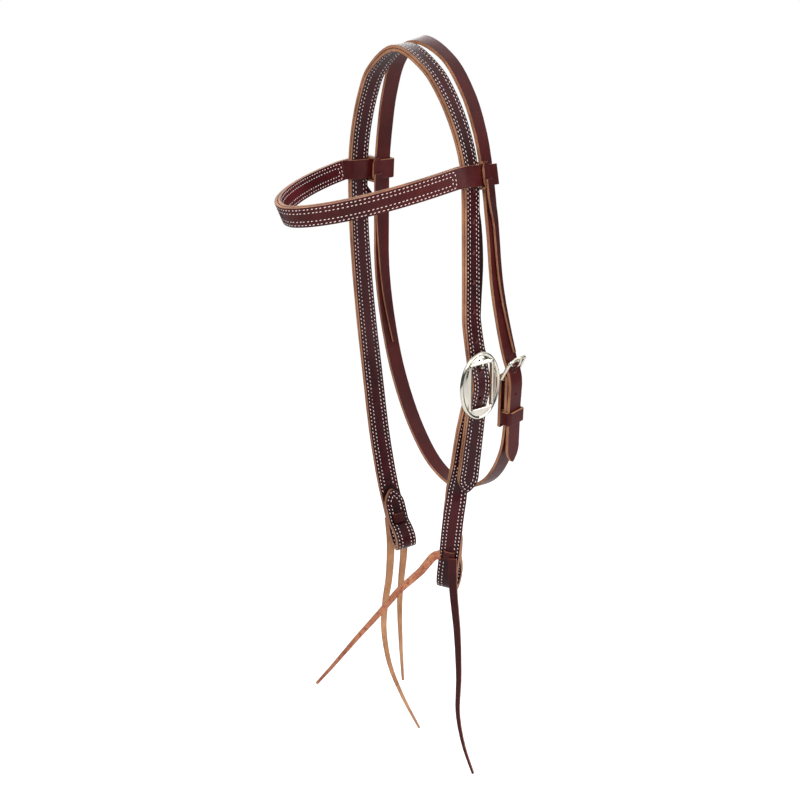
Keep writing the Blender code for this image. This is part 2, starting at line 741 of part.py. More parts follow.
def make_bit_lace(name, slit, joint=None):
    """The lace's turn through both slits, round the strap and the tab."""
    inner_out = -(STRAP_THICK + GAP) - STRAP_THICK / 2 - 5 * GAP
    outer_out = STRAP_THICK / 2 + GAP
    half = LACE_HALF_SPAN - LACE_THICK / 2
    band_ring(name, slit, ((-half, inner_out, LACE_WIDTH), (half, inner_out, LACE_WIDTH),
                           (half, outer_out, LACE_WIDTH), (-half, outer_out, LACE_WIDTH)),
              LACE_THICK, DARK_LACE, joint)


# Throat strap: frame at the middle of its buckle's heel bar, running down the strap
FOLD_RADIUS = FRAME_WIRE_RADIUS + GAP + THROAT_PLY / 2
THROAT_STACK = THROAT_PLY + GAP


def throat_knot(row, mirror=1):
    """A throat strap knot from a row of shares: drop, across, back and turn."""
    drop, across, back, turn = row
    return (Vector((mirror * across * HEAD_HALF_WIDTH, back * THROAT_REACH,
                    STRAP_THICK / 2 - drop * THROAT_DROP)), rearward(turn))


bar_point = Vector((THROAT_BAR_OUT, THROAT_BAR_BACK, STRAP_THICK / 2 - THROAT_BAR_DROP))
bar = squared(bar_point, throat_knot(THROAT_LOWER_SHARES[0])[0] - bar_point,
              rearward(THROAT_BAR_TURN))


def throat_samples():
    """Samples of the throat strap from its stub's end round to its billet's tip."""
    samples = [(place(bar, along=STUB_LENGTH * share, out=-FOLD_RADIUS), bar.side)
               for share in THROAT_STUB_SHARES]
    for step in range(ARC_STEPS + 1):
        angle = math.pi * (1 - step / ARC_STEPS)
        samples.append((place(bar, along=-FOLD_RADIUS * math.sin(angle),
                              out=FOLD_RADIUS * math.cos(angle)), bar.side))
    knots = [(place(bar, along=share * THROAT_STRAIGHT, out=FOLD_RADIUS), bar.side)
             for share in THROAT_STRAIGHT_SHARES]
    knots += [throat_knot(row) for row in THROAT_LOWER_SHARES]
    knots += [throat_knot((*row, 0), -1) for row in THROAT_SIDE_SHARES]
    top = throat_knot((0.0, 0.0, THROAT_TOP_BACK_SHARE, 0))[0]
    knots.append((top + UP * THROAT_TOP_RISE, raised_rear(THROAT_TOP_TILT)))
    knots += [throat_knot((*row, turn))
              for row, turn in reversed(list(zip(THROAT_SIDE_SHARES, THROAT_SIDE_TURNS)))]
    knots.append(throat_knot(THROAT_NEAR_LAST_SHARES))
    knots += [(place(bar, along=down * THROAT_BILLET_LENGTH,
                     out=FOLD_RADIUS - THROAT_STACK + over * 2 * THROAT_STACK), bar.side)
              for down, over in THROAT_BILLET_SHARES]
    return samples + spline(knots)


throat_line = framed(throat_samples())
throat_top = max(range(len(throat_line)), key=lambda i: throat_line[i].point.z)
throat_far = [frame for frame in throat_line[:throat_top] if frame.point.x < 0]
throat_near = throat_line[throat_top:]


def make_throat_strap():
    """The throat strap, with the tongue's slot in its fold and a long hole in its billet."""
    body = strap("throat_strap", cut_out(throat_line, (False, True)), THROAT_WIDTH, THROAT_PLY,
                 BURGUNDY, (False, True))
    slot = bmesh.new()
    outer = FOLD_RADIUS + THROAT_STACK / 2
    inner = -FOLD_RADIUS - THROAT_PLY
    block(slot, bar, ((EYE_SLOT_BELOW - EYE_SLOT_ABOVE) / 2, 0.0, (outer + inner) / 2),
          (EYE_SLOT_ABOVE + EYE_SLOT_BELOW, EYE_SLOT_WIDTH, outer - inner))
    combine(body, slot, "tongue_slot", "DIFFERENCE")
    hole = bmesh.new()
    block(hole, bar, (-THROAT_HOLE_RISE, 0.0, FOLD_RADIUS),
          (THROAT_HOLE_LENGTH, THROAT_HOLE_WIDTH, 4 * THROAT_STACK))
    combine(body, hole, "tongue_hole", "DIFFERENCE")
    spare = bmesh.new()
    below = THROAT_HOLE_PITCH - THROAT_HOLE_RISE
    rod(spare, place(bar, along=below, out=FOLD_RADIUS + THROAT_STACK / 2),
        place(bar, along=below, out=FOLD_RADIUS + 2 * THROAT_STACK), THROAT_HOLE_WIDTH / 2, 8)
    combine(body, spare, "spare_hole", "DIFFERENCE")


def closed_tube(points, normal, radius, sides=8):
    """A round wire that closes on itself through points in one plane."""
    rings = []
    for index, point in enumerate(points):
        ahead = (points[(index + 1) % len(points)] - point).normalized()
        behind = (point - points[index - 1]).normalized()
        inward = normal.cross(ahead + behind).normalized()
        rings.append([point + normal * radius * math.sin(2 * math.pi * side / sides)
                      + inward * radius * math.cos(2 * math.pi * side / sides)
                      for side in range(sides)])
    return tube_of(rings, closed=True)


def make_throat_buckle(frame_joint, tongue_joint):
    """A wire frame that leans out over the billet, and the tongue that loops its heel bar."""
    rise = bar.out * math.sin(FRAME_LEAN) - bar.along * math.cos(FRAME_LEAN)
    points = []
    for side, up, radius, start in (
            (FRAME_HALF_WIDTH, 0.0, FRAME_FOOT_RADIUS, -90),
            (FRAME_HALF_WIDTH, FRAME_RISE, FRAME_TOP_RADIUS, 0),
            (-FRAME_HALF_WIDTH, FRAME_RISE, FRAME_TOP_RADIUS, 90),
            (-FRAME_HALF_WIDTH, 0.0, FRAME_FOOT_RADIUS, 180)):
        across = side - math.copysign(radius, side)
        height = up + (radius if up == 0 else -radius)
        for step in range(ARC_STEPS // 2 + 1):
            angle = math.radians(start + 90 * step / (ARC_STEPS // 2))
            points.append(bar.point + bar.side * (across + radius * math.cos(angle))
                          + rise * (height + radius * math.sin(angle)))
    finish("throat_buckle_frame", closed_tube(points, rise.cross(bar.side), FRAME_WIRE_RADIUS),
           SILVER, frame_joint)
    eye = FRAME_WIRE_RADIUS + GAP + TONGUE_THICK / 2
    knots = [(place(bar, along=eye * math.cos(turn), out=eye * math.sin(turn)), bar.side)
             for turn in (math.radians(TONGUE_EYE_START + TONGUE_EYE_TURN * step / ARC_STEPS)
                          for step in range(ARC_STEPS + 1))]
    knots += [(place(bar, along=-up * FRAME_RISE, out=out * FRAME_RISE), bar.side)
              for up, out in TONGUE_SHARES]
    tongue = framed(knots)
    finish("throat_buckle_tongue", swept(tongue, lambda at: TONGUE_WIDTH, TONGUE_THICK), SILVER,
           tongue_joint)


def make_keeper(joint):
    """The keeper round the strap and the billet, its back between the strap and the stub."""
    across = THROAT_WIDTH / 2 + KEEPER_CLEARANCE
    inner = FOLD_RADIUS - THROAT_PLY / 2 - KEEPER_CLEARANCE
    outer = FOLD_RADIUS + THROAT_STACK + THROAT_PLY / 2 + KEEPER_CLEARANCE
    seat = squared(place(bar, along=KEEPER_DROP), bar.along, bar.side)
    band_ring("throat_keeper", seat,
              ((-across, inner, KEEPER_HEIGHT), (across, inner, KEEPER_HEIGHT),
               (across, outer, KEEPER_HEIGHT), (-across, outer, KEEPER_HEIGHT)),
              KEEPER_THICK, BURGUNDY, joint)


def brow_samples():
    """Samples of the browband's middle, from the far side round the front to the near side."""
    samples = []
    for step in range(BROW_STEPS + 1):
        turn = BROW_END_ANGLE * (2 * step / BROW_STEPS - 1)
        across = math.copysign(abs(math.sin(turn)) ** BROW_ACROSS_POWER_SHARE, turn)
        forward = math.cos(turn) ** BROW_FORWARD_POWER_SHARE
        point = Vector((BROW_HALF_WIDTH * across, BROW_FOLD_BACK - BROW_REACH * forward,
                        STRAP_THICK / 2 - BROW_DROP - BROW_DROOP * math.cos(turn)))
        lean = BROW_TILT * math.cos(turn)
        outward = Vector((math.sin(turn), -math.cos(turn), 0.0))
        samples.append((point, UP * math.cos(lean) + outward * math.sin(lean)))
    return samples


def beside(frame, rear, out):
    """A point on a strap given rearward and out of it, whichever way the strap runs."""
    return place(frame, side=math.copysign(rear, rear * frame.side.y), out=out)


def rising(frame):
    """Up along a strap, whichever way it runs."""
    return frame.along * math.copysign(1.0, frame.along.z)


def brow_seat(mirror):
    """The crown and throat frames that the browband's fold wraps, and the fold's height."""
    crown = at_drop(near_line if mirror > 0 else far_line, BROW_SEAT_DROP)
    throat = at_drop(throat_near if mirror > 0 else throat_far, BROW_SEAT_DROP)
    return crown, throat


def brow_fold(mirror):
    """The fold's corners from the crown's front edge, round the throat strap's rear, and back."""
    crown, throat = brow_seat(mirror)
    crown_half, throat_half = STRAP_WIDTH / 2, THROAT_WIDTH / 2
    over_crown = STRAP_THICK / 2 + BROW_CLEARANCE + BROW_PLY / 2
    over_throat = THROAT_PLY / 2 + BROW_CLEARANCE + BROW_PLY / 2
    corners = [(crown, -crown_half, over_crown), (crown, crown_half, over_crown),
               (throat, -throat_half, over_throat)]
    for step in range(ARC_STEPS + 1):
        angle = math.pi * step / ARC_STEPS
        corners.append((throat, throat_half + over_throat * math.sin(angle),
                        over_throat * math.cos(angle)))
    corners += [(throat, -throat_half, -over_throat), (crown, crown_half, -over_crown),
                (crown, -crown_half, -over_crown)]
    return [(beside(frame, rear, out), rising(frame)) for frame, rear, out in corners]


def make_browband():
    """The outer ply with both its folds, and the lining ply between them."""
    middle = framed(brow_samples())
    offset = (BROW_PLY + GAP) / 2
    front = [(place(frame, out=offset), frame.side) for frame in middle]
    ends = []
    for frame, way in ((middle[0], -1), (middle[-1], 1)):
        ends.append([(place(frame, along=way * reach, out=-offset - GAP), frame.side)
                     for reach in (BROW_PLY, GAP)])
    samples = list(reversed(ends[0])) + list(reversed(brow_fold(-1))) + front
    samples += brow_fold(1) + ends[1]
    route = framed(samples)
    finish("browband_outer_ply", swept(route, lambda at: BROW_WIDTH, BROW_PLY), BURGUNDY)
    back = framed([(place(frame, out=-offset), frame.side) for frame in middle])
    finish("browband_lining_ply", swept(back, lambda at: BROW_WIDTH, BROW_PLY), BURGUNDY)


def tie_seat(mirror):
    """Frame in the gap between the crown and throat straps: along is rearward, out is outward."""
    crown, throat = brow_seat(mirror)
    front = beside(crown, STRAP_WIDTH / 2, 0.0)
    rear = beside(throat, -THROAT_WIDTH / 2, 0.0)
    run = front - crown.point + throat.point - rear
    return squared((front + rear) / 2, run, (rising(crown) + rising(throat)) * mirror)


def tie_layers(mirror):
    """How far out of its seat the tie's inner and outer legs stand."""
    seat = tie_seat(mirror)
    fold = brow_fold(mirror)
    outs = [(point - seat.point).dot(seat.out) for point, _ in fold]
    room = BROW_PLY / 2 + 2 * GAP
    return min(outs[-3:-1]) - room, max(outs[1:3]) + room


def make_brow_tie(name, mirror):
    """The lace's turn round both layers of the browband, between the crown and throat straps."""
    inner, outer = tie_layers(mirror)
    top = BROW_WIDTH / 2 + 2 * GAP
    leg = TIE_LEG_SHARE * top
    band_ring(name, tie_seat(mirror),
              ((top, inner, TIE_NECK_WIDTH), (top, outer, TIE_NECK_WIDTH),
               (leg, outer, TIE_WIDTH), (-leg, outer, TIE_WIDTH),
               (-top, outer, TIE_NECK_WIDTH), (-top, inner, TIE_NECK_WIDTH),
               (-leg, inner, TIE_WIDTH), (leg, inner, TIE_WIDTH)), TIE_THICK, DARK_LACE)


def brow_tail_start(mirror, outward):
    """The first two knots of a browband tie's tail, lapped over the tie's outer or inner leg."""
    seat = tie_seat(mirror)
    inner, outer = tie_layers(mirror)
    lap = TIE_THICK * 3 / 2 + GAP
    out = outer + lap if outward else inner - lap
    below = BROW_WIDTH / 2 + 2 * GAP
    return [(place(seat, side=-down * mirror, out=out), seat.along * mirror)
            for down in (below - TIE_LAP, below + TIE_LAP)]


def throat_rows(mirror, rows, out):
    """Tail knots on the throat strap's outer or inner face, with one more between each two."""
    line = throat_near if mirror > 0 else throat_far
    every = []
    for one, two in zip(rows, rows[1:]):
        every += [one, ((one[0] + two[0]) / 2, (one[1] + two[1]) / 2)]
    knots = []
    for drop, rear in every + [rows[-1]]:
        frame = at_drop(line, drop * THROAT_DROP)
        side = frame.side * math.copysign(1.0, mirror * frame.side.y)
        knots.append((beside(frame, rear * THROAT_WIDTH, out), side))
    return knots


def make_brow_tails():
    """The four free tails of the browband's two ties, each hinged at its top."""
    lie = (THROAT_PLY + TIE_THICK) / 2 + TAIL_CLEARANCE
    near_outer = brow_tail_start(1, True)
    near_outer += throat_rows(1, NEAR_OUTER_TAIL_SHARES, lie)
    near_inner = brow_tail_start(1, False)
    seat = tie_seat(1)
    near_inner += [(near_inner[1][0] - UP * down * INNER_TAIL_DROP + seat.along * rear * THROAT_WIDTH,
                    seat.along) for down, rear in NEAR_INNER_TAIL_SHARES]
    far_outer = brow_tail_start(-1, True)
    far_outer += throat_rows(-1, FAR_OUTER_TAIL_SHARES, lie)
    far_inner = brow_tail_start(-1, False)
    far_inner += throat_rows(-1, FAR_INNER_TAIL_SHARES, -lie)
    for name, knots in (("near_browband_tie_outer_tail", near_outer),
                        ("near_browband_tie_inner_tail", near_inner),
                        ("far_browband_tie_outer_tail", far_outer),
                        ("far_browband_tie_inner_tail", far_inner)):
        tapered(name, knots, TIE_TAIL_WIDTH, TIE_POINT_WIDTH, TIE_THICK, DARK_LACE,
                joint_at(name + "_hinge", knots[0][0]))


def tail_knots(start, across, reach, shares, face):
    """Knots of a hanging tail whose grain side looks along face."""
    points = [start] + [start + (across * over - UP * down) * reach for down, over in shares]
    knots = []
    for index, point in enumerate(points):
        run = points[min(index + 1, len(points) - 1)] - points[max(index - 1, 0)]
        knots.append((point, face.cross(run).normalized()))
    return knots


def make_bit_tails(near_joint):
    """The four free tails of the two bit laces, each hinged where it leaves its slit."""
    lap = STRAP_THICK / 2 + LACE_THICK * 3 / 2 + 2 * GAP
    heading = Vector((math.cos(NEAR_FRONT_HEADING), math.sin(NEAR_FRONT_HEADING), 0.0))
    near_front = place(near_slit, side=-LACE_HALF_SPAN - LACE_THICK - 3 * GAP,
                       out=STRAP_THICK / 2 + LACE_THICK * LACE_EXIT_SHARE)
    for name, start, across, reach, shares, face, carrier in (
            ("near_bit_tie_front_tail", near_front, heading, NEAR_FRONT_REACH, NEAR_FRONT_SHARES,
             Vector((-heading.y, heading.x, 0.0)), near_joint),
            ("near_bit_tie_hanging_tail", place(near_slit, side=LACE_HALF_SPAN, out=lap),
             rearward(NEAR_SLIT_TURN), NEAR_HANGING_DROP, NEAR_HANGING_SHARES, near_slit.out,
             near_joint),
            ("far_bit_tie_front_tail", place(far_slit, side=LACE_HALF_SPAN, out=lap),
             rearward(FAR_SLIT_TURN), FAR_FRONT_DROP, FAR_FRONT_SHARES, far_slit.out, None),
            ("far_bit_tie_rear_tail", place(far_slit, side=-LACE_HALF_SPAN, out=lap),
             rearward(FAR_SLIT_TURN), FAR_REAR_DROP, FAR_REAR_SHARES, far_slit.out, None)):
        tapered(name, tail_knots(start, across, reach, shares, face), LACE_WIDTH, LACE_POINT_WIDTH,
                LACE_THICK, TAN_LACE, joint_at(name + "_hinge", start, carrier))


make_crown()
near_cheek_hinge = joint_at("near_cheek_hinge", place(plate, BAR_BELOW_CENTRE, 0.0, bar_out))
make_cheek(near_cheek_hinge)
make_cart_buckle()
make_bit_lace("near_bit_tie", near_slit, near_cheek_hinge)
make_bit_lace("far_bit_tie", far_slit)
make_bit_tails(near_cheek_hinge)
make_throat_strap()
throat_frame_hinge = joint_at("throat_frame_hinge", bar.point)
throat_tongue_hinge = joint_at("throat_tongue_hinge", bar.point, throat_frame_hinge)
make_throat_buckle(throat_frame_hinge, throat_tongue_hinge)
make_keeper(joint_at("throat_keeper_slide", place(bar, along=KEEPER_DROP)))
make_browband()
make_brow_tie("near_browband_tie", 1)
make_brow_tie("far_browband_tie", -1)
make_brow_tails()
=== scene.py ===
import math

import bmesh
import bpy
from mathutils import Matrix, Vector
from mathutils.bvhtree import BVHTree


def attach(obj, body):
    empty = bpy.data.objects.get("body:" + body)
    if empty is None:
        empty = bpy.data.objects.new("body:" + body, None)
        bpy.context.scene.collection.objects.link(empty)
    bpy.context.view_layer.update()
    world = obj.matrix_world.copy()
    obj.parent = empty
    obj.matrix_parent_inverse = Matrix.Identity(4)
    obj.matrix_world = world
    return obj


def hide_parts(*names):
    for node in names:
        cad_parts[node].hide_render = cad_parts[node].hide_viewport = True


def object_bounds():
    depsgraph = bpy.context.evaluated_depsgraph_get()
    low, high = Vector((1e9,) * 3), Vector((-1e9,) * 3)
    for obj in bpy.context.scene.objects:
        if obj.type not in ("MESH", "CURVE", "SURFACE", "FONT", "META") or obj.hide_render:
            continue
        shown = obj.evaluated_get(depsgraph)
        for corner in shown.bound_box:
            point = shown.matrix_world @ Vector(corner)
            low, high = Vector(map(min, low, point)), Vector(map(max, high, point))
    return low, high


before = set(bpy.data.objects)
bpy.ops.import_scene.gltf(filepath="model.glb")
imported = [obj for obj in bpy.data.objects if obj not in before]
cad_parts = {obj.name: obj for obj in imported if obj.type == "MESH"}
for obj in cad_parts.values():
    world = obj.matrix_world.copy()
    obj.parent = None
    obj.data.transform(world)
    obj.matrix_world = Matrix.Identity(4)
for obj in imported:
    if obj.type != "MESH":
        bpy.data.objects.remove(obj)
cad_low, cad_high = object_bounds()
print("CAD box in mm:", [round(1000 * size, 1) for size in cad_high - cad_low])

# %% [markdown]
# # A western headstall
#
# The real object is a bridle without its bit: a doubled and stitched crown strap, a short near cheek
# on a cart buckle, a browband that folds round the straps at both ends, a single-ply throat strap with
# its own buckle, and leather laces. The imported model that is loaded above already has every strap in
# its place. What it lacks is what the eye reads as leather: rounded and undyed cut edges, a grain, and
# the rows of thread.
#
# ## The camera
#
# The photograph looks at the near side from the front and a little above. The camera is placed by an
# azimuth, a pitch and a distance from one point of the object, because those are what a photographer
# sets. The lens follows from how large the object stands in the picture.

# %% Camera at the photograph's angle
PICTURE_SIDE = 800
FOCAL_PIXELS = 1215
AZIMUTH = math.radians(50)
PITCH = math.radians(14)
CAMERA_DISTANCE = 1.1
LOOKED_AT = Vector((-0.002, 0.0, -0.3025))

camera_data = bpy.data.cameras.new("camera")
camera_data.sensor_width = 36.0
camera_data.lens = FOCAL_PIXELS * camera_data.sensor_width / PICTURE_SIDE
camera_data.clip_start = 0.05
camera = bpy.data.objects.new("camera", camera_data)
bpy.context.scene.collection.objects.link(camera)
towards_camera = Vector((math.sin(AZIMUTH) * math.cos(PITCH), -math.cos(AZIMUTH) * math.cos(PITCH),
                         math.sin(PITCH)))
camera.location = LOOKED_AT + CAMERA_DISTANCE * towards_camera
camera.rotation_euler = (-towards_camera).to_track_quat("-Z", "Y").to_euler()
bpy.context.scene.camera = camera
bpy.context.scene.view_settings.view_transform = "Standard"
print("lens in mm:", round(camera_data.lens, 1))

# %% [markdown]
# ## A helper for materials
#
# A node material is a small graph. One function that adds a node, sets its values and links its inputs
# keeps each material short enough to read. Colours are written as the sRGB hex values that a paint
# program shows, and one function turns them into the linear numbers that the shader wants.


# %% Colours and nodes
def linear(hex_colour):
    """An sRGB hex colour as linear red, green, blue and alpha."""
    channels = [int(hex_colour[at:at + 2], 16) / 255 for at in (1, 3, 5)]
    return tuple(c / 12.92 if c <= 0.04045 else ((c + 0.055) / 1.055) ** 2.4
                 for c in channels) + (1.0,)


def add(tree, kind, settings=None, links=None):
    """Adds a shader node. Settings name a property or an input, and links name an input."""
    node = tree.nodes.new("ShaderNode" + kind)
    for key, value in (settings or {}).items():
        if isinstance(key, str) and hasattr(node, key):
            setattr(node, key, value)
        else:
            node.inputs[key].default_value = value
    for key, socket in (links or {}).items():
        tree.links.new(socket, node.inputs[key])
    return node


def new_material(name):
    """An empty node material with its output, as (material, tree, output)."""
    made = bpy.data.materials.new(name)
    made.use_nodes = True
    made.node_tree.nodes.clear()
    return made, made.node_tree, add(made.node_tree, "OutputMaterial")


# A Mix node has its inputs of every type in one list: these are the places of its colour inputs
FIRST_COLOUR, SECOND_COLOUR, COLOUR_RESULT = 6, 7, 2

# %% [markdown]
# ## Latigo leather
#
# Latigo is cowhide tanned with both chrome and vegetable extracts, filled with oil and wax and dyed
# burgundy. It has a fine pebble grain, a satin surface with a little wax on top, and a colour that
# drifts over a few centimetres. Two soft noises drift the colour, and a cell pattern with a fine noise
# makes the grain. The real grain is about half a millimetre, which would not show, so it is drawn
# about twice as coarse.
#
# The doubled straps also have a shallow channel that each row of stitches lies in. The bump sinks it, and
# its colour is drawn darker as painted shade in the groove. An attribute named rim holds how far each
# point of the leather is from the strap's cut edge, in millimetres. The channels are drawn from it, so
# they follow every bend and every pointed tip.

# %% Leather materials
ROW_INSETS = (2.0, 5.1)          # how far each row of stitches is from the cut edge, in mm
CHANNEL_HALF_WIDTH = 0.75        # mm
GRAIN_PER_METRE = 950
PORES_PER_METRE = 3200


def leather(name, deep, light, roughness, channels=False, grain=GRAIN_PER_METRE, depth=0.30):
    """Dyed grain-side leather that drifts between two colours."""
    made, tree, output = new_material(name)
    where = add(tree, "TexCoord").outputs["Object"]
    drift = add(tree, "TexNoise", {"Scale": 17.0, "Detail": 3.0}, {"Vector": where})
    mottle = add(tree, "TexNoise", {"Scale": 170.0, "Detail": 4.0}, {"Vector": where})
    cells = add(tree, "TexVoronoi", {"feature": "DISTANCE_TO_EDGE", "Scale": grain},
                {"Vector": where})
    pores = add(tree, "TexNoise", {"Scale": PORES_PER_METRE, "Detail": 2.0}, {"Vector": where})
    both = add(tree, "Math", {"operation": "MULTIPLY_ADD", 1: 0.45},
               {0: mottle.outputs["Fac"], 2: drift.outputs["Fac"]})
    share = add(tree, "MapRange", {"From Min": 0.50, "From Max": 0.95}, {"Value": both.outputs[0]})
    colour = add(tree, "Mix", {"data_type": "RGBA", FIRST_COLOUR: linear(deep),
                               SECOND_COLOUR: linear(light)}, {0: share.outputs[0]})
    colour_out = colour.outputs[COLOUR_RESULT]
    height = add(tree, "Math", {"operation": "MULTIPLY_ADD", 1: 0.35},
                 {0: pores.outputs["Fac"], 2: cells.outputs["Distance"]})
    height_out = height.outputs[0]
    if channels:
        rim = add(tree, "Attribute", {"attribute_name": "rim"}).outputs["Fac"]
        marks = []
        for inset in ROW_INSETS:
            off = add(tree, "Math", {"operation": "SUBTRACT", 1: inset}, {0: rim})
            size = add(tree, "Math", {"operation": "ABSOLUTE"}, {0: off.outputs[0]})
            marks.append(add(tree, "MapRange", {"interpolation_type": "SMOOTHSTEP",
                                                "From Min": 0.3 * CHANNEL_HALF_WIDTH,
                                                "From Max": CHANNEL_HALF_WIDTH,
                                                "To Min": 1.0, "To Max": 0.0},
                             {"Value": size.outputs[0]}).outputs[0])
        channel = add(tree, "Math", {"operation": "MAXIMUM"}, {0: marks[0], 1: marks[1]})
        # painted shade: the channel's colour is darkened towards near black, standing for the shade in the groove
        channel_painted_shade = add(tree, "Math", {"operation": "MULTIPLY", 1: 0.80}, {0: channel.outputs[0]})
        dark = add(tree, "Mix", {"data_type": "RGBA", SECOND_COLOUR: linear("#120305")},
                   {0: channel_painted_shade.outputs[0], FIRST_COLOUR: colour_out})
        colour_out = dark.outputs[COLOUR_RESULT]
        height_out = add(tree, "Math", {"operation": "MULTIPLY_ADD", 1: -1.6},
                         {0: channel.outputs[0], 2: height_out}).outputs[0]
    bump = add(tree, "Bump", {"Strength": depth, "Distance": 0.00012}, {"Height": height_out})
    gloss = add(tree, "MapRange", {"To Min": roughness - 0.07, "To Max": roughness + 0.09},
                {"Value": mottle.outputs["Fac"]})
    shader = add(tree, "BsdfPrincipled", {"Specular IOR Level": 0.20, "Coat Weight": 0.03, "Coat Roughness": 0.22},
                 {"Base Color": colour_out, "Roughness": gloss.outputs[0],
                  "Normal": bump.outputs["Normal"]})
    tree.links.new(shader.outputs[0], output.inputs["Surface"])
    return made


STITCHED_FACE = leather("burgundy_latigo_stitched", "#250609", "#430D13", 0.38, channels=True)
BROWBAND_FACE = leather("burgundy_latigo_browband", "#400A10", "#5F151D", 0.31, channels=True)
PLAIN_FACE = leather("burgundy_latigo_plain", "#380B0C", "#521716", 0.37)
LACE_FACE = leather("burgundy_latigo_lace", "#300A0A", "#471413", 0.43, grain=1100)

# %% [markdown]
# ## Cut edges and the flesh side
#
# The dye does not reach the middle of the hide, so a cut edge shows tan. The maker rounds it with an
# edge tool and rubs it, which leaves it smooth, with faint fibre lines and a darker line where dye has
# run over the corner. The flesh side of a lace is the rough inner side of the hide: matt, tan to
# orange, with short loose fibres. Both are noises stretched by a Mapping node, because fibres are much
# longer than they are wide.


# %% Edge and flesh materials
def fibres(name, dark, light, roughness, stretch, per_metre, depth, spots=None):
    """Undyed leather with fibres drawn out along one direction."""
    made, tree, output = new_material(name)
    where = add(tree, "TexCoord").outputs["Object"]
    drawn = add(tree, "Mapping", {"Scale": stretch}, {"Vector": where})
    fibre = add(tree, "TexNoise", {"Scale": per_metre, "Detail": 5.0, "Roughness": 0.6},
                {"Vector": drawn.outputs[0]})
    drift = add(tree, "TexNoise", {"Scale": 45.0, "Detail": 3.0}, {"Vector": where})
    both = add(tree, "Math", {"operation": "MULTIPLY_ADD", 1: 0.8},
               {0: fibre.outputs["Fac"], 2: drift.outputs["Fac"]})
    share = add(tree, "MapRange", {"From Min": 0.60, "From Max": 1.15}, {"Value": both.outputs[0]})
    colour = add(tree, "Mix", {"data_type": "RGBA", FIRST_COLOUR: linear(dark),
                               SECOND_COLOUR: linear(light)}, {0: share.outputs[0]})
    colour_out = colour.outputs[COLOUR_RESULT]
    if spots:
        blotch = add(tree, "TexNoise", {"Scale": 520.0, "Detail": 3.0},
                     {"Vector": drawn.outputs[0]})
        where_dyed = add(tree, "MapRange", {"From Min": 0.50, "From Max": 0.66, "To Max": 0.75},
                         {"Value": blotch.outputs["Fac"]})
        dyed = add(tree, "Mix", {"data_type": "RGBA", SECOND_COLOUR: linear(spots)},
                   {0: where_dyed.outputs[0], FIRST_COLOUR: colour_out})
        colour_out = dyed.outputs[COLOUR_RESULT]
    bump = add(tree, "Bump", {"Strength": depth, "Distance": 0.00015},
               {"Height": fibre.outputs["Fac"]})
    shader = add(tree, "BsdfPrincipled", {"Roughness": roughness},
                 {"Base Color": colour_out, "Normal": bump.outputs["Normal"]})
    tree.links.new(shader.outputs[0], output.inputs["Surface"])
    return made


CUT_EDGE = fibres("undyed_cut_edge", "#7A4A30", "#B9835F", 0.6, (1.0, 1.0, 0.25), 1500.0, 0.35)
LACE_EDGE = fibres("burgundy_lace_edge", "#5E2E26", "#9A6450", 0.60, (1.0, 1.0, 0.25), 1500.0, 0.35)
FLESH_SIDE = fibres("flesh_side_tan", "#8A5A3A", "#BE8C64", 0.85, (1.0, 1.0, 0.12), 1300.0, 0.6)
FLESH_ORANGE = fibres("flesh_side_orange", "#8A4A30", "#BC7C5A", 0.85, (0.6, 0.6, 0.6), 1300.0, 0.6,
                      spots="#7C3428")
HOLE_WALL = fibres("dyed_hole_wall", "#5A2624", "#8E4C42", 0.6, (1.0, 1.0, 1.0), 1500.0, 0.35)

# %% [markdown]
# ## Thread and nickel
#
# The thread is a thick waxed polyester in a pinkish white, laid in a lockstitch. Wax gives it a soft
# gloss and picks up a little dye, which the noise gives back. The buckles are polished nickel plate on
# cast brass: the colour of nickel is a warm grey, and a polished plate is almost a mirror, with fine
# scratches from handling.

# %% Thread and metal materials
THREAD, tree, output = new_material("waxed_polyester_thread")
where = add(tree, "TexCoord").outputs["Object"]
soil = add(tree, "TexNoise", {"Scale": 320.0, "Detail": 3.0}, {"Vector": where})
thread_colour = add(tree, "Mix", {"data_type": "RGBA", FIRST_COLOUR: linear("#E3C6BF"),
                                  SECOND_COLOUR: linear("#FFF3EE")}, {0: soil.outputs["Fac"]})
twist = add(tree, "TexNoise", {"Scale": 4200.0}, {"Vector": where})
thread_bump = add(tree, "Bump", {"Strength": 0.35, "Distance": 0.0001},
                  {"Height": twist.outputs["Fac"]})
shader = add(tree, "BsdfPrincipled", {"Roughness": 0.5, "Sheen Weight": 0.2},
             {"Base Color": thread_colour.outputs[COLOUR_RESULT],
              "Normal": thread_bump.outputs["Normal"]})
tree.links.new(shader.outputs[0], output.inputs["Surface"])

NICKEL, tree, output = new_material("polished_nickel_plate")
where = add(tree, "TexCoord").outputs["Object"]
haze = add(tree, "TexNoise", {"Scale": 60.0, "Detail": 4.0}, {"Vector": where})
polish = add(tree, "MapRange", {"To Min": 0.04, "To Max": 0.14}, {"Value": haze.outputs["Fac"]})
drawn = add(tree, "Mapping", {"Scale": (1.0, 7.0, 1.0), "Rotation": (0.5, 0.2, 0.0)},
            {"Vector": where})
scratch = add(tree, "TexNoise", {"Scale": 900.0, "Detail": 2.0}, {"Vector": drawn.outputs[0]})
metal_bump = add(tree, "Bump", {"Strength": 0.04, "Distance": 0.0001},
                 {"Height": scratch.outputs["Fac"]})
shader = add(tree, "BsdfPrincipled", {"Base Color": linear("#E6E0D2"), "Metallic": 1.0},
             {"Roughness": polish.outputs[0], "Normal": metal_bump.outputs["Normal"]})
tree.links.new(shader.outputs[0], output.inputs["Surface"])
print("materials:", len(bpy.data.materials))

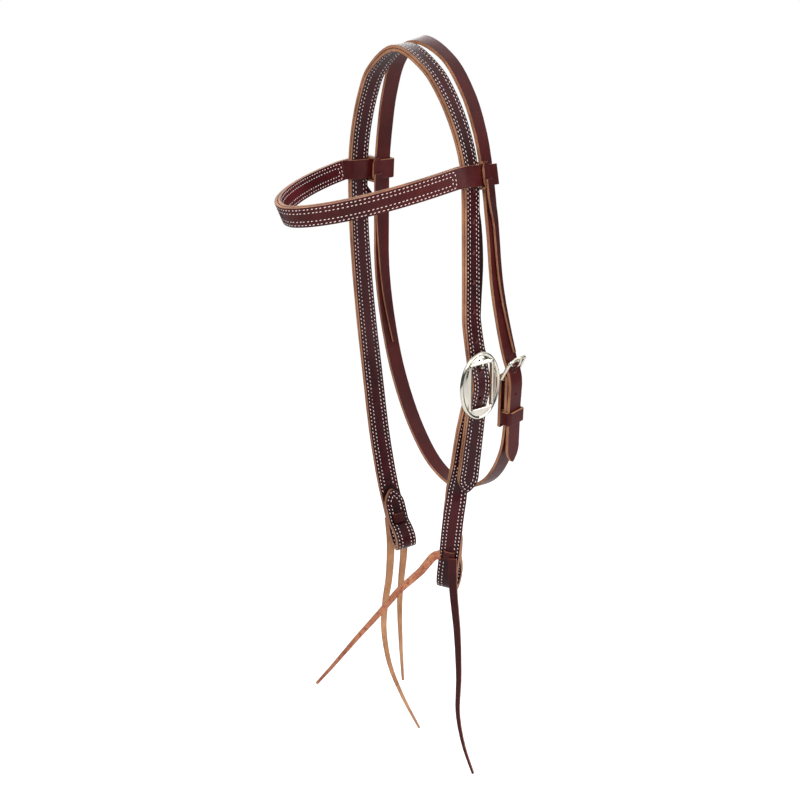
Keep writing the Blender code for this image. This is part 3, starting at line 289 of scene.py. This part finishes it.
# %% [markdown]
# ## Telling a strap's faces from its edges
#
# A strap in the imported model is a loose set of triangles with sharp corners. Three things have to be
# known before it can be dressed: which triangles are its broad faces, which are its cut edge, and
# where the line between them runs. A ray sent into the leather from the middle of a face answers the
# first two. From a broad face it meets the other side after one thickness of hide, and from a cut edge
# it has the whole width of the strap to cross. This holds on flat straps, folded straps and rings alike.

# %% Merge a node's triangles and sort them
MERGE_DISTANCE = 1e-6
SLIVER = 0.00012
HOLE_WALL_AREA = 9e-5
CORNER_ANGLE = math.radians(38)


def merged(node):
    """A node's mesh with its doubles merged and its pairs of triangles joined."""
    builder = bmesh.new()
    builder.from_mesh(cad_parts[node].data)
    bmesh.ops.remove_doubles(builder, verts=builder.verts[:], dist=MERGE_DISTANCE)
    bmesh.ops.join_triangles(builder, faces=builder.faces[:], cmp_seam=False, cmp_sharp=False,
                             angle_face_threshold=math.radians(8),
                             angle_shape_threshold=math.radians(50))
    builder.verts.index_update()
    return builder


def patches(builder, joins):
    """The faces in groups that are connected through the edges that joins accepts."""
    left = dict.fromkeys(builder.faces)
    groups = []
    while left:
        group = [next(iter(left))]
        del left[group[0]]
        for face in group:
            for edge in face.edges:
                if len(edge.link_faces) == 2 and joins(edge):
                    for other in edge.link_faces:
                        if other in left:
                            del left[other]
                            group.append(other)
        groups.append(group)
    return groups


def face_kinds(builder, thickness):
    """Marks a broad face 0, a cut edge 1 and the wall of a hole 2, in the material index."""
    tree = BVHTree.FromBMesh(builder)
    for group in patches(builder, lambda edge: edge.calc_face_angle() < CORNER_ANGLE):
        thin = area = 0.0
        for face in group:
            start = face.calc_center_median() - face.normal * thickness * 0.05
            depth = tree.ray_cast(start, -face.normal)[3] or 0.0
            area += face.calc_area()
            thin += face.calc_area() if depth < 1.35 * thickness else 0.0
        for face in group:
            face.material_index = 0 if thin > 0.5 * area else (1 if area > HOLE_WALL_AREA else 2)


def rim_loops(builder, shortest=0.030):
    """The closed line round each broad side, longest first, holes left out."""
    loops = []
    same_kind = patches(builder, lambda edge: len({face.material_index
                                                   for face in edge.link_faces}) == 1)
    for side in same_kind:
        if side[0].material_index:
            continue
        after = {}
        for edge in {edge for face in side for edge in face.edges}:
            if len({face.material_index for face in edge.link_faces}) == 2:
                for vert in edge.verts:
                    after.setdefault(vert, []).append(edge.other_vert(vert))
        while after:
            line = [min(after, key=lambda vert: vert.index)]
            while True:
                onward = [vert for vert in after.pop(line[-1], []) if vert in after]
                if not onward:
                    break
                line.append(min(onward, key=lambda vert: vert.index))
            length = sum((a.co - b.co).length for a, b in zip(line, line[1:]))
            if length > shortest:
                loops.append((length, [vert.co.copy() for vert in line]))
    return [line for length, line in sorted(loops, key=lambda found: -found[0])]


# %% [markdown]
# ## Dressing a strap
#
# The dressed strap is a merged copy of its solid. Its corners get a small bevel, as an edge tool would
# cut, and an extra line down its middle so that the rim attribute can rise from the edge to the middle
# and fall again. Weighted normals keep the broad faces flat in the light while the bevel turns.

# %% Copy, round and mark a strap
CORNER_RADIUS = 0.00045
FOLD_RADIUS = 0.0019
KEEPER_FOLD_RADIUS = 0.0032
MILLIMETRES = 1000.0


def nearest_on(lines, point):
    """The distance from a point to the nearest of some closed lines."""
    best = 1.0
    for line in lines:
        for start, end in zip(line, line[1:] + line[:1]):
            along = end - start
            share = (point - start).dot(along) / max(along.length_squared, 1e-12)
            best = min(best, (point - start - along * min(max(share, 0.0), 1.0)).length)
    return best


def piece(name, builder, surfaces, body):
    """Makes an object of a bmesh with its materials, and has it ride on a body."""
    mesh = bpy.data.meshes.new(name)
    builder.to_mesh(mesh)
    builder.free()
    for surface in surfaces:
        mesh.materials.append(surface)
    for polygon in mesh.polygons:
        polygon.use_smooth = True
    made = bpy.data.objects.new(name, mesh)
    bpy.context.scene.collection.objects.link(made)
    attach(made, body)
    return made


def dress(node, body, thickness, face, edge, mark_rim=False, radius=CORNER_RADIUS,
          fold_radius=0.0):
    """Makes the dressed piece that stands for a leather node, and returns its rim lines."""
    builder = merged(node)
    bmesh.ops.dissolve_degenerate(builder, dist=SLIVER, edges=builder.edges[:])
    face_kinds(builder, thickness)
    loops = rim_loops(builder)
    if fold_radius:
        folds = [edge_here for edge_here in builder.edges
                 if edge_here.calc_face_angle_signed() > CORNER_ANGLE
                 and not any(beside.material_index for beside in edge_here.link_faces)]
        bmesh.ops.bevel(builder, geom=folds, offset=fold_radius, segments=5, profile=0.5,
                        affect="EDGES", clamp_overlap=False, material=-1)
    if mark_rim:
        on_rim = {vert for edge in builder.edges for vert in edge.verts
                  if {face.material_index for face in edge.link_faces} == {0, 1}}
        across = [edge for edge in builder.edges
                  if edge.verts[0] in on_rim and edge.verts[1] in on_rim
                  and all(face.material_index == 0 for face in edge.link_faces)]
        bmesh.ops.subdivide_edges(builder, edges=across, cuts=1, use_grid_fill=False)
    corners = [edge for edge in builder.edges
               if len(edge.link_faces) == 2 and edge.calc_face_angle() > CORNER_ANGLE]
    bmesh.ops.bevel(builder, geom=corners, offset=radius, segments=2, profile=0.5,
                    affect="EDGES", clamp_overlap=False, material=-1)
    if mark_rim:
        layer = builder.verts.layers.float.new("rim")
        for vert in builder.verts:
            vert[layer] = MILLIMETRES * nearest_on(loops[:2], vert.co)
    made = piece(node + "_leather", builder, (face, edge, HOLE_WALL), body)
    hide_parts(node)
    made.modifiers.new("weighted_normals", "WEIGHTED_NORMAL").keep_sharp = True
    return loops


PLY = 0.0026
THROAT_PLY = 0.0032
KEEPER_THICK = 0.0022
LACE_THICK = 0.0022
crown_rims = {
    "crown_outer_ply": dress("crown_outer_ply", "headstall", PLY,
                             STITCHED_FACE, CUT_EDGE, mark_rim=True),
    "crown_lining_ply": dress("crown_lining_ply", "headstall", PLY,
                              STITCHED_FACE, CUT_EDGE, mark_rim=True),
    "near_cheek_outer_ply": dress("near_cheek_outer_ply", "near_cheek", PLY,
                                  STITCHED_FACE, CUT_EDGE, mark_rim=True),
    "near_cheek_lining_ply": dress("near_cheek_lining_ply", "near_cheek", PLY,
                                   STITCHED_FACE, CUT_EDGE, mark_rim=True),
}
brow_rims = dress("browband_lining_ply", "headstall", PLY, BROWBAND_FACE,
                  CUT_EDGE, mark_rim=True)
dress("browband_outer_ply", "headstall", PLY, PLAIN_FACE, CUT_EDGE)
dress("throat_strap", "headstall", THROAT_PLY, PLAIN_FACE, CUT_EDGE)
dress("throat_keeper", "keeper", KEEPER_THICK, PLAIN_FACE, CUT_EDGE,
      fold_radius=KEEPER_FOLD_RADIUS)
for node, loops in crown_rims.items():
    print(node, "rim lines:", [len(line) for line in loops])
print("browband lining rim lines:", [len(line) for line in brow_rims])

# %% [markdown]
# ## Laces
#
# Each lace is a strip of the same hide. The turn that holds a strap shows its dyed side, and its free
# tails hang with either side out. All the broad faces of a lace take one colour, and its cut edges
# another.

# %% Dress the laces
TAILS = (
    ("near_bit_tie", "near_cheek", "burgundy_lace", LACE_FACE, LACE_EDGE),
    ("far_bit_tie", "headstall", "burgundy_lace", LACE_FACE, LACE_EDGE),
    ("near_browband_tie", "headstall", "burgundy_lace", PLAIN_FACE, CUT_EDGE),
    ("far_browband_tie", "headstall", "burgundy_lace", PLAIN_FACE, CUT_EDGE),
    ("near_browband_tie_outer_tail", "near_brow_outer_tail", "burgundy_lace", LACE_FACE, CUT_EDGE),
    ("near_browband_tie_inner_tail", "near_brow_inner_tail", "burgundy_lace", LACE_FACE, CUT_EDGE),
    ("far_browband_tie_outer_tail", "far_brow_outer_tail", "burgundy_lace", LACE_FACE, CUT_EDGE),
    ("far_browband_tie_inner_tail", "far_brow_inner_tail", "burgundy_lace", LACE_FACE, CUT_EDGE),
    ("near_bit_tie_front_tail", "near_bit_front_tail", "flesh_side_lace", FLESH_ORANGE, CUT_EDGE),
    ("near_bit_tie_hanging_tail", "near_bit_hanging_tail", "burgundy_lace", LACE_FACE, LACE_EDGE),
    ("far_bit_tie_front_tail", "far_bit_front_tail", "flesh_side_lace", FLESH_SIDE, CUT_EDGE),
    ("far_bit_tie_rear_tail", "far_bit_rear_tail", "flesh_side_lace", FLESH_SIDE, CUT_EDGE),
)
for node, body, slot, face, edge in TAILS:
    dress(node, body, LACE_THICK, face, edge, radius=0.0004,
          fold_radius=FOLD_RADIUS if node.endswith("_tie") else 0.0)
print("laces dressed:", len(TAILS))

# %% [markdown]
# ## Stitching
#
# Four rows of thread run down each doubled strap: a pair beside each edge, which meet in a point at
# every tip. At seven stitches to the inch, one stitch is 3.6 mm long. A row is the rim line moved
# inwards over the leather, and any part of it that comes closer to the rim than it should is dropped,
# which is what makes the sharp point at a tip. A stitch is a ball drawn out along the row and sunk by
# half into the leather, a little aslant, as a saddle stitch lies. A few dozen faces are enough for
# each, because there are thousands.

# %% Lines that rows of stitches follow
STITCH_PITCH = 25.4e-3 / 7
STITCH_LENGTH = 0.0026
STITCH_WIDTH = 0.00110
STITCH_PROUD = 0.00024
STITCH_SLANT = math.radians(9)
CLEAR_OF_OTHERS = 0.00075
SAMPLE_STEP = 0.0006


def resampled(line, step, closed=True):
    """Points at even steps along a line."""
    ends = line[1:] + line[:1] if closed else line[1:]
    points = []
    for start, end in zip(line, ends):
        count = max(1, round((end - start).length / step))
        points += [start.lerp(end, at / count) for at in range(count)]
    return points


def broad_tree(node, thickness):
    """A search tree of a node's broad faces only."""
    builder = merged(node)
    face_kinds(builder, thickness)
    edges = [face for face in builder.faces if face.material_index]
    bmesh.ops.delete(builder, geom=edges, context="FACES_ONLY")
    tree = BVHTree.FromBMesh(builder)
    builder.free()
    return tree


def inset_line(line, tree, inset):
    """A closed rim line moved inwards over the broad face that it bounds."""
    points = resampled(line, SAMPLE_STEP)
    moved = []
    count = len(points)
    for index, point in enumerate(points):
        along = (points[(index + 2) % count] - points[index - 2]).normalized()
        normal = tree.find_nearest(point)[1]
        inward = normal.cross(along).normalized()
        for way in (inward, -inward):
            target = point + way * inset
            place, face_normal, _, off = tree.find_nearest(target)
            if off < 0.25 * inset:
                moved.append((place, face_normal))
                break
    kept = [(place, normal) for place, normal in moved
            if nearest_on([line], place) > 0.96 * inset]
    return kept


def tree_of(node):
    """A search tree of a whole node."""
    builder = bmesh.new()
    builder.from_mesh(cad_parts[node].data)
    tree = BVHTree.FromBMesh(builder)
    builder.free()
    return tree


def facing_out(node, partner, thickness):
    """The rim line of the broad face that looks away from the partner ply."""
    builder = merged(node)
    bmesh.ops.dissolve_degenerate(builder, dist=SLIVER, edges=builder.edges[:])
    face_kinds(builder, thickness)
    loops = rim_loops(builder)
    builder.free()
    partner_tree = tree_of(partner)

    def away(line):
        return sum(partner_tree.find_nearest(point)[3] for point in line) / len(line)

    return max(loops[:2], key=away)


# %% Sew the rows
def clear_of(points, others):
    """True if a stitch there touches no other piece."""
    return all(tree.find_nearest(point, CLEAR_OF_OTHERS)[0] is None
               for tree in others for point in points)


def sewn(name, rows, body, others):
    """One object with a stitch at every pitch along each row, where nothing lies on top."""
    builder = bmesh.new()
    total = 0
    for row in rows:
        run = 0.0
        for (here, normal), (there, _) in zip(row, row[1:] + row[:1]):
            gap = (there - here).length
            if gap > 4 * SAMPLE_STEP:
                continue
            run += gap
            if run < STITCH_PITCH:
                continue
            run -= STITCH_PITCH
            along = (there - here).normalized()
            side = normal.cross(along).normalized()
            along = (along * math.cos(STITCH_SLANT) + side * math.sin(STITCH_SLANT)).normalized()
            side = normal.cross(along)
            top = here + normal * STITCH_PROUD
            if not clear_of([top], others):
                continue
            turn = Matrix((along, side, normal)).transposed().to_4x4()
            size = Matrix.Diagonal((STITCH_LENGTH / 2, STITCH_WIDTH / 2, 2 * STITCH_PROUD, 1.0))
            seat = Matrix.Translation(here - normal * STITCH_PROUD)
            bmesh.ops.create_icosphere(builder, subdivisions=1, radius=1.0,
                                       matrix=seat @ turn @ size)
            total += 1
    print(name, "stitches:", total)
    return piece(name, builder, (THREAD,), body)


def trees_of(*left_out):
    """Search trees of every node but some."""
    return [tree_of(name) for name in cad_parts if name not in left_out]


for node, partner, body in (
        ("crown_outer_ply", "crown_lining_ply", "headstall"),
        ("crown_lining_ply", "crown_outer_ply", "headstall"),
        ("near_cheek_outer_ply", "near_cheek_lining_ply", "near_cheek"),
        ("near_cheek_lining_ply", "near_cheek_outer_ply", "near_cheek")):
    rim = facing_out(node, partner, PLY)
    surface = broad_tree(node, PLY)
    rows = [inset_line(rim, surface, inset / MILLIMETRES) for inset in ROW_INSETS]
    sewn(node + "_stitches", rows, body, trees_of(node, partner))

# %% [markdown]
# ## Stitching on the browband
#
# The browband's two rows on each side turn the corner at its ends, where the lining stops short of the
# fold: two rounded rectangles, one inside the other. So these rows follow the rim of the lining, on both
# sides of the band, and their corners are rounded by averaging each point with its neighbours.

# %% Sew the browband
CORNER_SMOOTHINGS = 14


def rounded(points, times):
    """A closed line with its corners averaged away."""
    for _ in range(times):
        points = [(points[at - 1] + points[at] + points[(at + 1) % len(points)]) / 3
                  for at in range(len(points))]
    return points


lining_rim = facing_out("browband_lining_ply", "browband_outer_ply", PLY)
lining_tree = broad_tree("browband_lining_ply", PLY)
outer_tree = broad_tree("browband_outer_ply", PLY)
inner_rows, outer_rows = [], []
for inset in ROW_INSETS:
    line = [place for place, _ in inset_line(lining_rim, lining_tree, inset / MILLIMETRES)]
    line = rounded(line, CORNER_SMOOTHINGS)
    on_lining, on_outer = [], []
    for point in line:
        place, normal, _, _ = lining_tree.find_nearest(point)
        on_lining.append((place, normal))
        place, normal, _, _ = outer_tree.find_nearest(place - normal * (2 * PLY + 0.0003))
        on_outer.append((place, normal))
    inner_rows.append(on_lining)
    outer_rows.append(on_outer)
others = trees_of("browband_outer_ply", "browband_lining_ply")
sewn("browband_lining_ply_stitches", inner_rows, "headstall", others)
sewn("browband_outer_ply_stitches", outer_rows, "headstall", others)

# %% [markdown]
# ## The cart buckle
#
# The plate is cast with a rolled rim, a shallow valley behind it, and a lip round the window. Ten closed
# lines with the same number of points describe it, from the back of the rim over the front to the back
# of the window, and bridge_loops spans each pair. The window is a superellipse with a high power, which
# is a rectangle with slightly rounded corners.

# %% Plate of the cart buckle
buckle_at = Vector((0.07085, 0.02236, -0.27707))
buckle_out = Vector((0.99477, -0.05941, -0.08307)).normalized()
buckle_side = Vector((0.0653, 0.9954, 0.07009)).normalized()
buckle_down = buckle_side.cross(buckle_out).normalized()
if buckle_down.z > 0:
    buckle_down.negate()
PLATE_FRONT = 0.0107
PLATE_THICK = 0.0036
PLATE_HALF = (0.02175, 0.0305)
WINDOW_HALF = (0.01125, 0.0195)
WINDOW_POWER = 16
PLATE_POINTS = 96


def on_buckle(side=0.0, down=0.0, out=0.0):
    """A point given across, down and out of the buckle."""
    return buckle_at + buckle_side * side + buckle_down * down + buckle_out * out


def plate_line(builder, share, grow, out):
    """A closed line between the plate's oval (share 0) and its window (share 1)."""
    ring = bmesh.ops.create_circle(builder, segments=PLATE_POINTS, radius=1.0)["verts"]
    for vert in ring:
        c, s = vert.co.x, vert.co.y
        oval = Vector(((PLATE_HALF[0] + grow) * c, (PLATE_HALF[1] + grow) * s))
        power = 2 / WINDOW_POWER
        window = Vector(((WINDOW_HALF[0] + grow) * math.copysign(abs(c) ** power, c),
                         (WINDOW_HALF[1] + grow) * math.copysign(abs(s) ** power, s)))
        across, down = oval.lerp(window, share)
        vert.co = on_buckle(across, down, PLATE_FRONT + out)
    return [edge for edge in builder.edges if edge.verts[0] in ring and edge.verts[1] in ring]


plate = bmesh.new()
lines = [plate_line(plate, share, grow, out) for share, grow, out in (
    (0, -0.0006, -PLATE_THICK), (0, 0.0, -0.0030), (0, 0.0, -0.0016), (0, -0.0007, -0.0005),
    (0, -0.0016, -0.0003), (0, -0.0024, -0.0009), (0, -0.0036, -0.0011), (0.5, -0.0010, -0.0001),
    (1, 0.0028, -0.0002), (1, 0.0016, 0.0005), (1, 0.0005, 0.0004), (1, 0.0, -0.0004),
    (1, 0.0, -0.0032),
    (1, 0.0004, -PLATE_THICK))]
for first, second in zip(lines, lines[1:] + lines[:1]):
    bmesh.ops.bridge_loops(plate, edges=first + second)
bmesh.ops.recalc_face_normals(plate, faces=plate.faces[:])
print("plate faces:", len(plate.faces), "open edges:", sum(edge.is_boundary for edge in plate.edges))

# %% [markdown]
# ## Heel bar, lugs and hook
#
# The cheek hangs from a round bar behind the plate, which two lugs carry. The hook that goes through
# the billet's hole is a short bent pin: a circle spun through a quarter turn, with a straight length
# drawn out of each end, and its open ends filled.

# %% Bar, lugs and hook
BAR_DOWN = 0.002
BAR_OUT = 0.00053
BAR_RADIUS = 0.0017
LUG_SIDE = 0.0115
HOOK_RADIUS = 0.0015
HOOK_DOWN = -0.014
HOOK_OUT = 0.01067
HOOK_TOP = -0.025
HOOK_FOOT = 0.0033
HOOK_BEND = 0.0026


def bar_between(builder, start, end, radius, sides=24):
    """A round bar with rounded ends between two points."""
    run = end - start
    turn = run.to_track_quat("Z", "Y").to_matrix().to_4x4()
    made = bmesh.ops.create_cone(builder, cap_ends=True, segments=sides, radius1=radius,
                                 radius2=radius, depth=run.length,
                                 matrix=Matrix.Translation((start + end) / 2) @ turn)
    rims = [edge for edge in {edge for vert in made["verts"] for edge in vert.link_edges}
            if edge.calc_face_angle() > math.radians(60)]
    bmesh.ops.bevel(builder, geom=rims, offset=radius * 0.35, segments=3, profile=0.5,
                    affect="EDGES", clamp_overlap=True, material=-1)


bar_between(plate, on_buckle(-LUG_SIDE - BAR_RADIUS, BAR_DOWN, BAR_OUT),
            on_buckle(LUG_SIDE + BAR_RADIUS, BAR_DOWN, BAR_OUT), BAR_RADIUS)
for way in (-1, 1):
    bar_between(plate, on_buckle(way * LUG_SIDE, BAR_DOWN, BAR_OUT),
                on_buckle(way * (LUG_SIDE + 0.0006), BAR_DOWN, PLATE_FRONT - PLATE_THICK / 2),
                0.0019)
bend_at = on_buckle(0.0, HOOK_DOWN - HOOK_BEND, HOOK_OUT - HOOK_BEND)
hook = bmesh.new()
ring = bmesh.ops.create_circle(hook, segments=20, radius=HOOK_RADIUS,
                               matrix=Matrix.Translation(bend_at + buckle_out * HOOK_BEND)
                               @ Matrix((buckle_side, buckle_out, buckle_down)).transposed()
                               .to_4x4())
start_edges = list({edge for vert in ring["verts"] for edge in vert.link_edges})
spun = bmesh.ops.spin(hook, geom=ring["verts"] + start_edges, cent=bend_at, axis=buckle_side,
                      dvec=(0, 0, 0), angle=-math.pi / 2, steps=8, use_merge=False,
                      use_duplicate=False)
last = [item for item in spun["geom_last"] if isinstance(item, bmesh.types.BMEdge)]
for edges, shift in ((start_edges, buckle_down * (HOOK_TOP - HOOK_DOWN + HOOK_BEND)),
                     (last, buckle_out * (HOOK_FOOT - HOOK_OUT + HOOK_BEND))):
    drawn_out = bmesh.ops.extrude_edge_only(hook, edges=edges)["geom"]
    moved = [item for item in drawn_out if isinstance(item, bmesh.types.BMVert)]
    bmesh.ops.translate(hook, verts=moved, vec=shift)
bmesh.ops.holes_fill(hook, edges=hook.edges[:], sides=0)
bmesh.ops.recalc_face_normals(hook, faces=hook.faces[:])
hook_mesh = bpy.data.meshes.new("hook")
hook.to_mesh(hook_mesh)
hook.free()
plate.from_mesh(hook_mesh)
bpy.data.meshes.remove(hook_mesh)
buckle = piece("cheek_buckle_metal", plate, (NICKEL,), "headstall")
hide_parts("cheek_buckle")
buckle.modifiers.new("weighted_normals", "WEIGHTED_NORMAL").keep_sharp = True

# %% [markdown]
# ## The throat buckle
#
# Its frame is a bent wire, so the eight-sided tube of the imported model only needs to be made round. A
# Subdivision Surface draws a tube in a little, so the tube is first swollen by the same amount. The
# tongue is a flattened wire with soft corners.

# %% Frame and tongue
WIRE_SWELL = 0.00015


def subdivided(made, levels):
    """Adds a Subdivision Surface that renders as it is shown."""
    modifier = made.modifiers.new("rounded", "SUBSURF")
    modifier.levels = modifier.render_levels = levels


wire = merged("throat_buckle_frame")
wire.normal_update()
for vert, normal in [(vert, vert.normal.copy()) for vert in wire.verts]:
    vert.co += normal * WIRE_SWELL
buckle_frame = piece("throat_buckle_frame_metal", wire, (NICKEL,), "throat_frame")
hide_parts("throat_buckle_frame")
subdivided(buckle_frame, 2)

tongue = merged("throat_buckle_tongue")
corners = [edge for edge in tongue.edges if edge.calc_face_angle() > CORNER_ANGLE]
bmesh.ops.bevel(tongue, geom=corners, offset=0.0005, segments=3, profile=0.5, affect="EDGES",
                clamp_overlap=False, material=-1)
buckle_tongue = piece("throat_buckle_tongue_metal", tongue, (NICKEL,), "throat_tongue")
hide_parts("throat_buckle_tongue")
buckle_tongue.modifiers.new("weighted_normals", "WEIGHTED_NORMAL").keep_sharp = True

# %% [markdown]
# ## Light and backdrop
#
# The photograph is a studio cut-out: white behind, soft light from the upper left, and no hard
# shadow. The world is a plain white for the camera and for reflections, with a grey band near the
# ground that gives the polished nickel something dark to mirror. The light on the leather comes from
# two large soft lamps and a dimmer world.

# %% World, lamps and floor
world = bpy.data.worlds.new("studio")
bpy.context.scene.world = world
world.use_nodes = True
tree = world.node_tree
tree.nodes.clear()
path = add(tree, "LightPath")
around = add(tree, "TexCoord").outputs["Generated"]
split = add(tree, "SeparateXYZ", {}, {0: around})
banded = add(tree, "ValToRGB", {}, {"Fac": add(tree, "MapRange", {"From Min": -1.0},
                                               {"Value": split.outputs["Z"]}).outputs[0]})
ramp = banded.color_ramp
ramp.elements[0].position, ramp.elements[0].color = 0.0, (0.55, 0.55, 0.56, 1.0)
ramp.elements[1].position, ramp.elements[1].color = 1.0, (1.0, 1.0, 1.0, 1.0)
for position, grey in ((0.40, 0.75), (0.47, 0.06), (0.60, 0.08), (0.68, 0.85)):
    ramp.elements.new(position).color = (grey, grey, grey, 1.0)
soft = add(tree, "Background", {"Color": (0.97, 0.98, 1.0, 1.0), "Strength": 0.70})
mirrored = add(tree, "Background", {"Strength": 1.0}, {"Color": banded.outputs["Color"]})
white = add(tree, "Background", {"Color": (1.0, 1.0, 1.0, 1.0), "Strength": 1.0})
lit = add(tree, "MixShader", {}, {0: path.outputs["Is Glossy Ray"], 1: soft.outputs[0],
                                  2: mirrored.outputs[0]})
seen = add(tree, "MixShader", {}, {0: path.outputs["Is Camera Ray"], 1: lit.outputs[0],
                                   2: white.outputs[0]})
add(tree, "OutputWorld", {}, {"Surface": seen.outputs[0]})


def softbox(name, place, power, side):
    """A square area lamp that looks at the object."""
    data = bpy.data.lights.new(name, "AREA")
    data.energy, data.size = power, side
    lamp = bpy.data.objects.new(name, data)
    bpy.context.scene.collection.objects.link(lamp)
    lamp.location = place
    lamp.rotation_euler = (LOOKED_AT - Vector(place)).to_track_quat("-Z", "Y").to_euler()


softbox("key", (0.9, -1.3, 0.9), 17.0, 0.9)
softbox("fill", (1.5, 0.5, 0.1), 9.0, 1.0)
softbox("back", (-1.2, 0.8, 0.7), 9.0, 1.0)

FLOOR_BELOW = 0.30
floor_builder = bmesh.new()
bmesh.ops.create_grid(floor_builder, x_segments=1, y_segments=1, size=6.0,
                      matrix=Matrix.Translation((0.0, 0.0, cad_low.z - FLOOR_BELOW)))
floor_mesh = bpy.data.meshes.new("floor")
floor_builder.to_mesh(floor_mesh)
floor_builder.free()
floor = bpy.data.objects.new("floor", floor_mesh)
bpy.context.scene.collection.objects.link(floor)
floor_surface, tree, output = new_material("pale_floor")
path = add(tree, "LightPath")
glow = add(tree, "Math", {"operation": "MULTIPLY", 1: 0.42}, {0: path.outputs["Is Camera Ray"]})
flat = add(tree, "Mapping", {"Scale": (1.0, 1.0, 0.0)},
           {"Vector": add(tree, "TexCoord").outputs["Object"]})
away = add(tree, "VectorMath", {"operation": "LENGTH"}, {0: flat.outputs[0]})
far_off = add(tree, "MapRange", {"From Min": 1.9, "From Max": 2.9}, {"Value": away.outputs["Value"]})
dimmed = add(tree, "Math", {"operation": "MULTIPLY"},
             {0: far_off.outputs[0], 1: path.outputs["Is Glossy Ray"]})
tone = add(tree, "Mix", {"data_type": "RGBA", FIRST_COLOUR: (0.85, 0.85, 0.85, 1.0),
                         SECOND_COLOUR: (0.05, 0.06, 0.07, 1.0)}, {0: dimmed.outputs[0]})
plain = add(tree, "BsdfPrincipled", {"Roughness": 0.9, "Emission Color": (1.0, 1.0, 1.0, 1.0)},
            {"Base Color": tone.outputs[COLOUR_RESULT], "Emission Strength": glow.outputs[0]})
tree.links.new(plain.outputs[0], output.inputs["Surface"])
floor_mesh.materials.append(floor_surface)
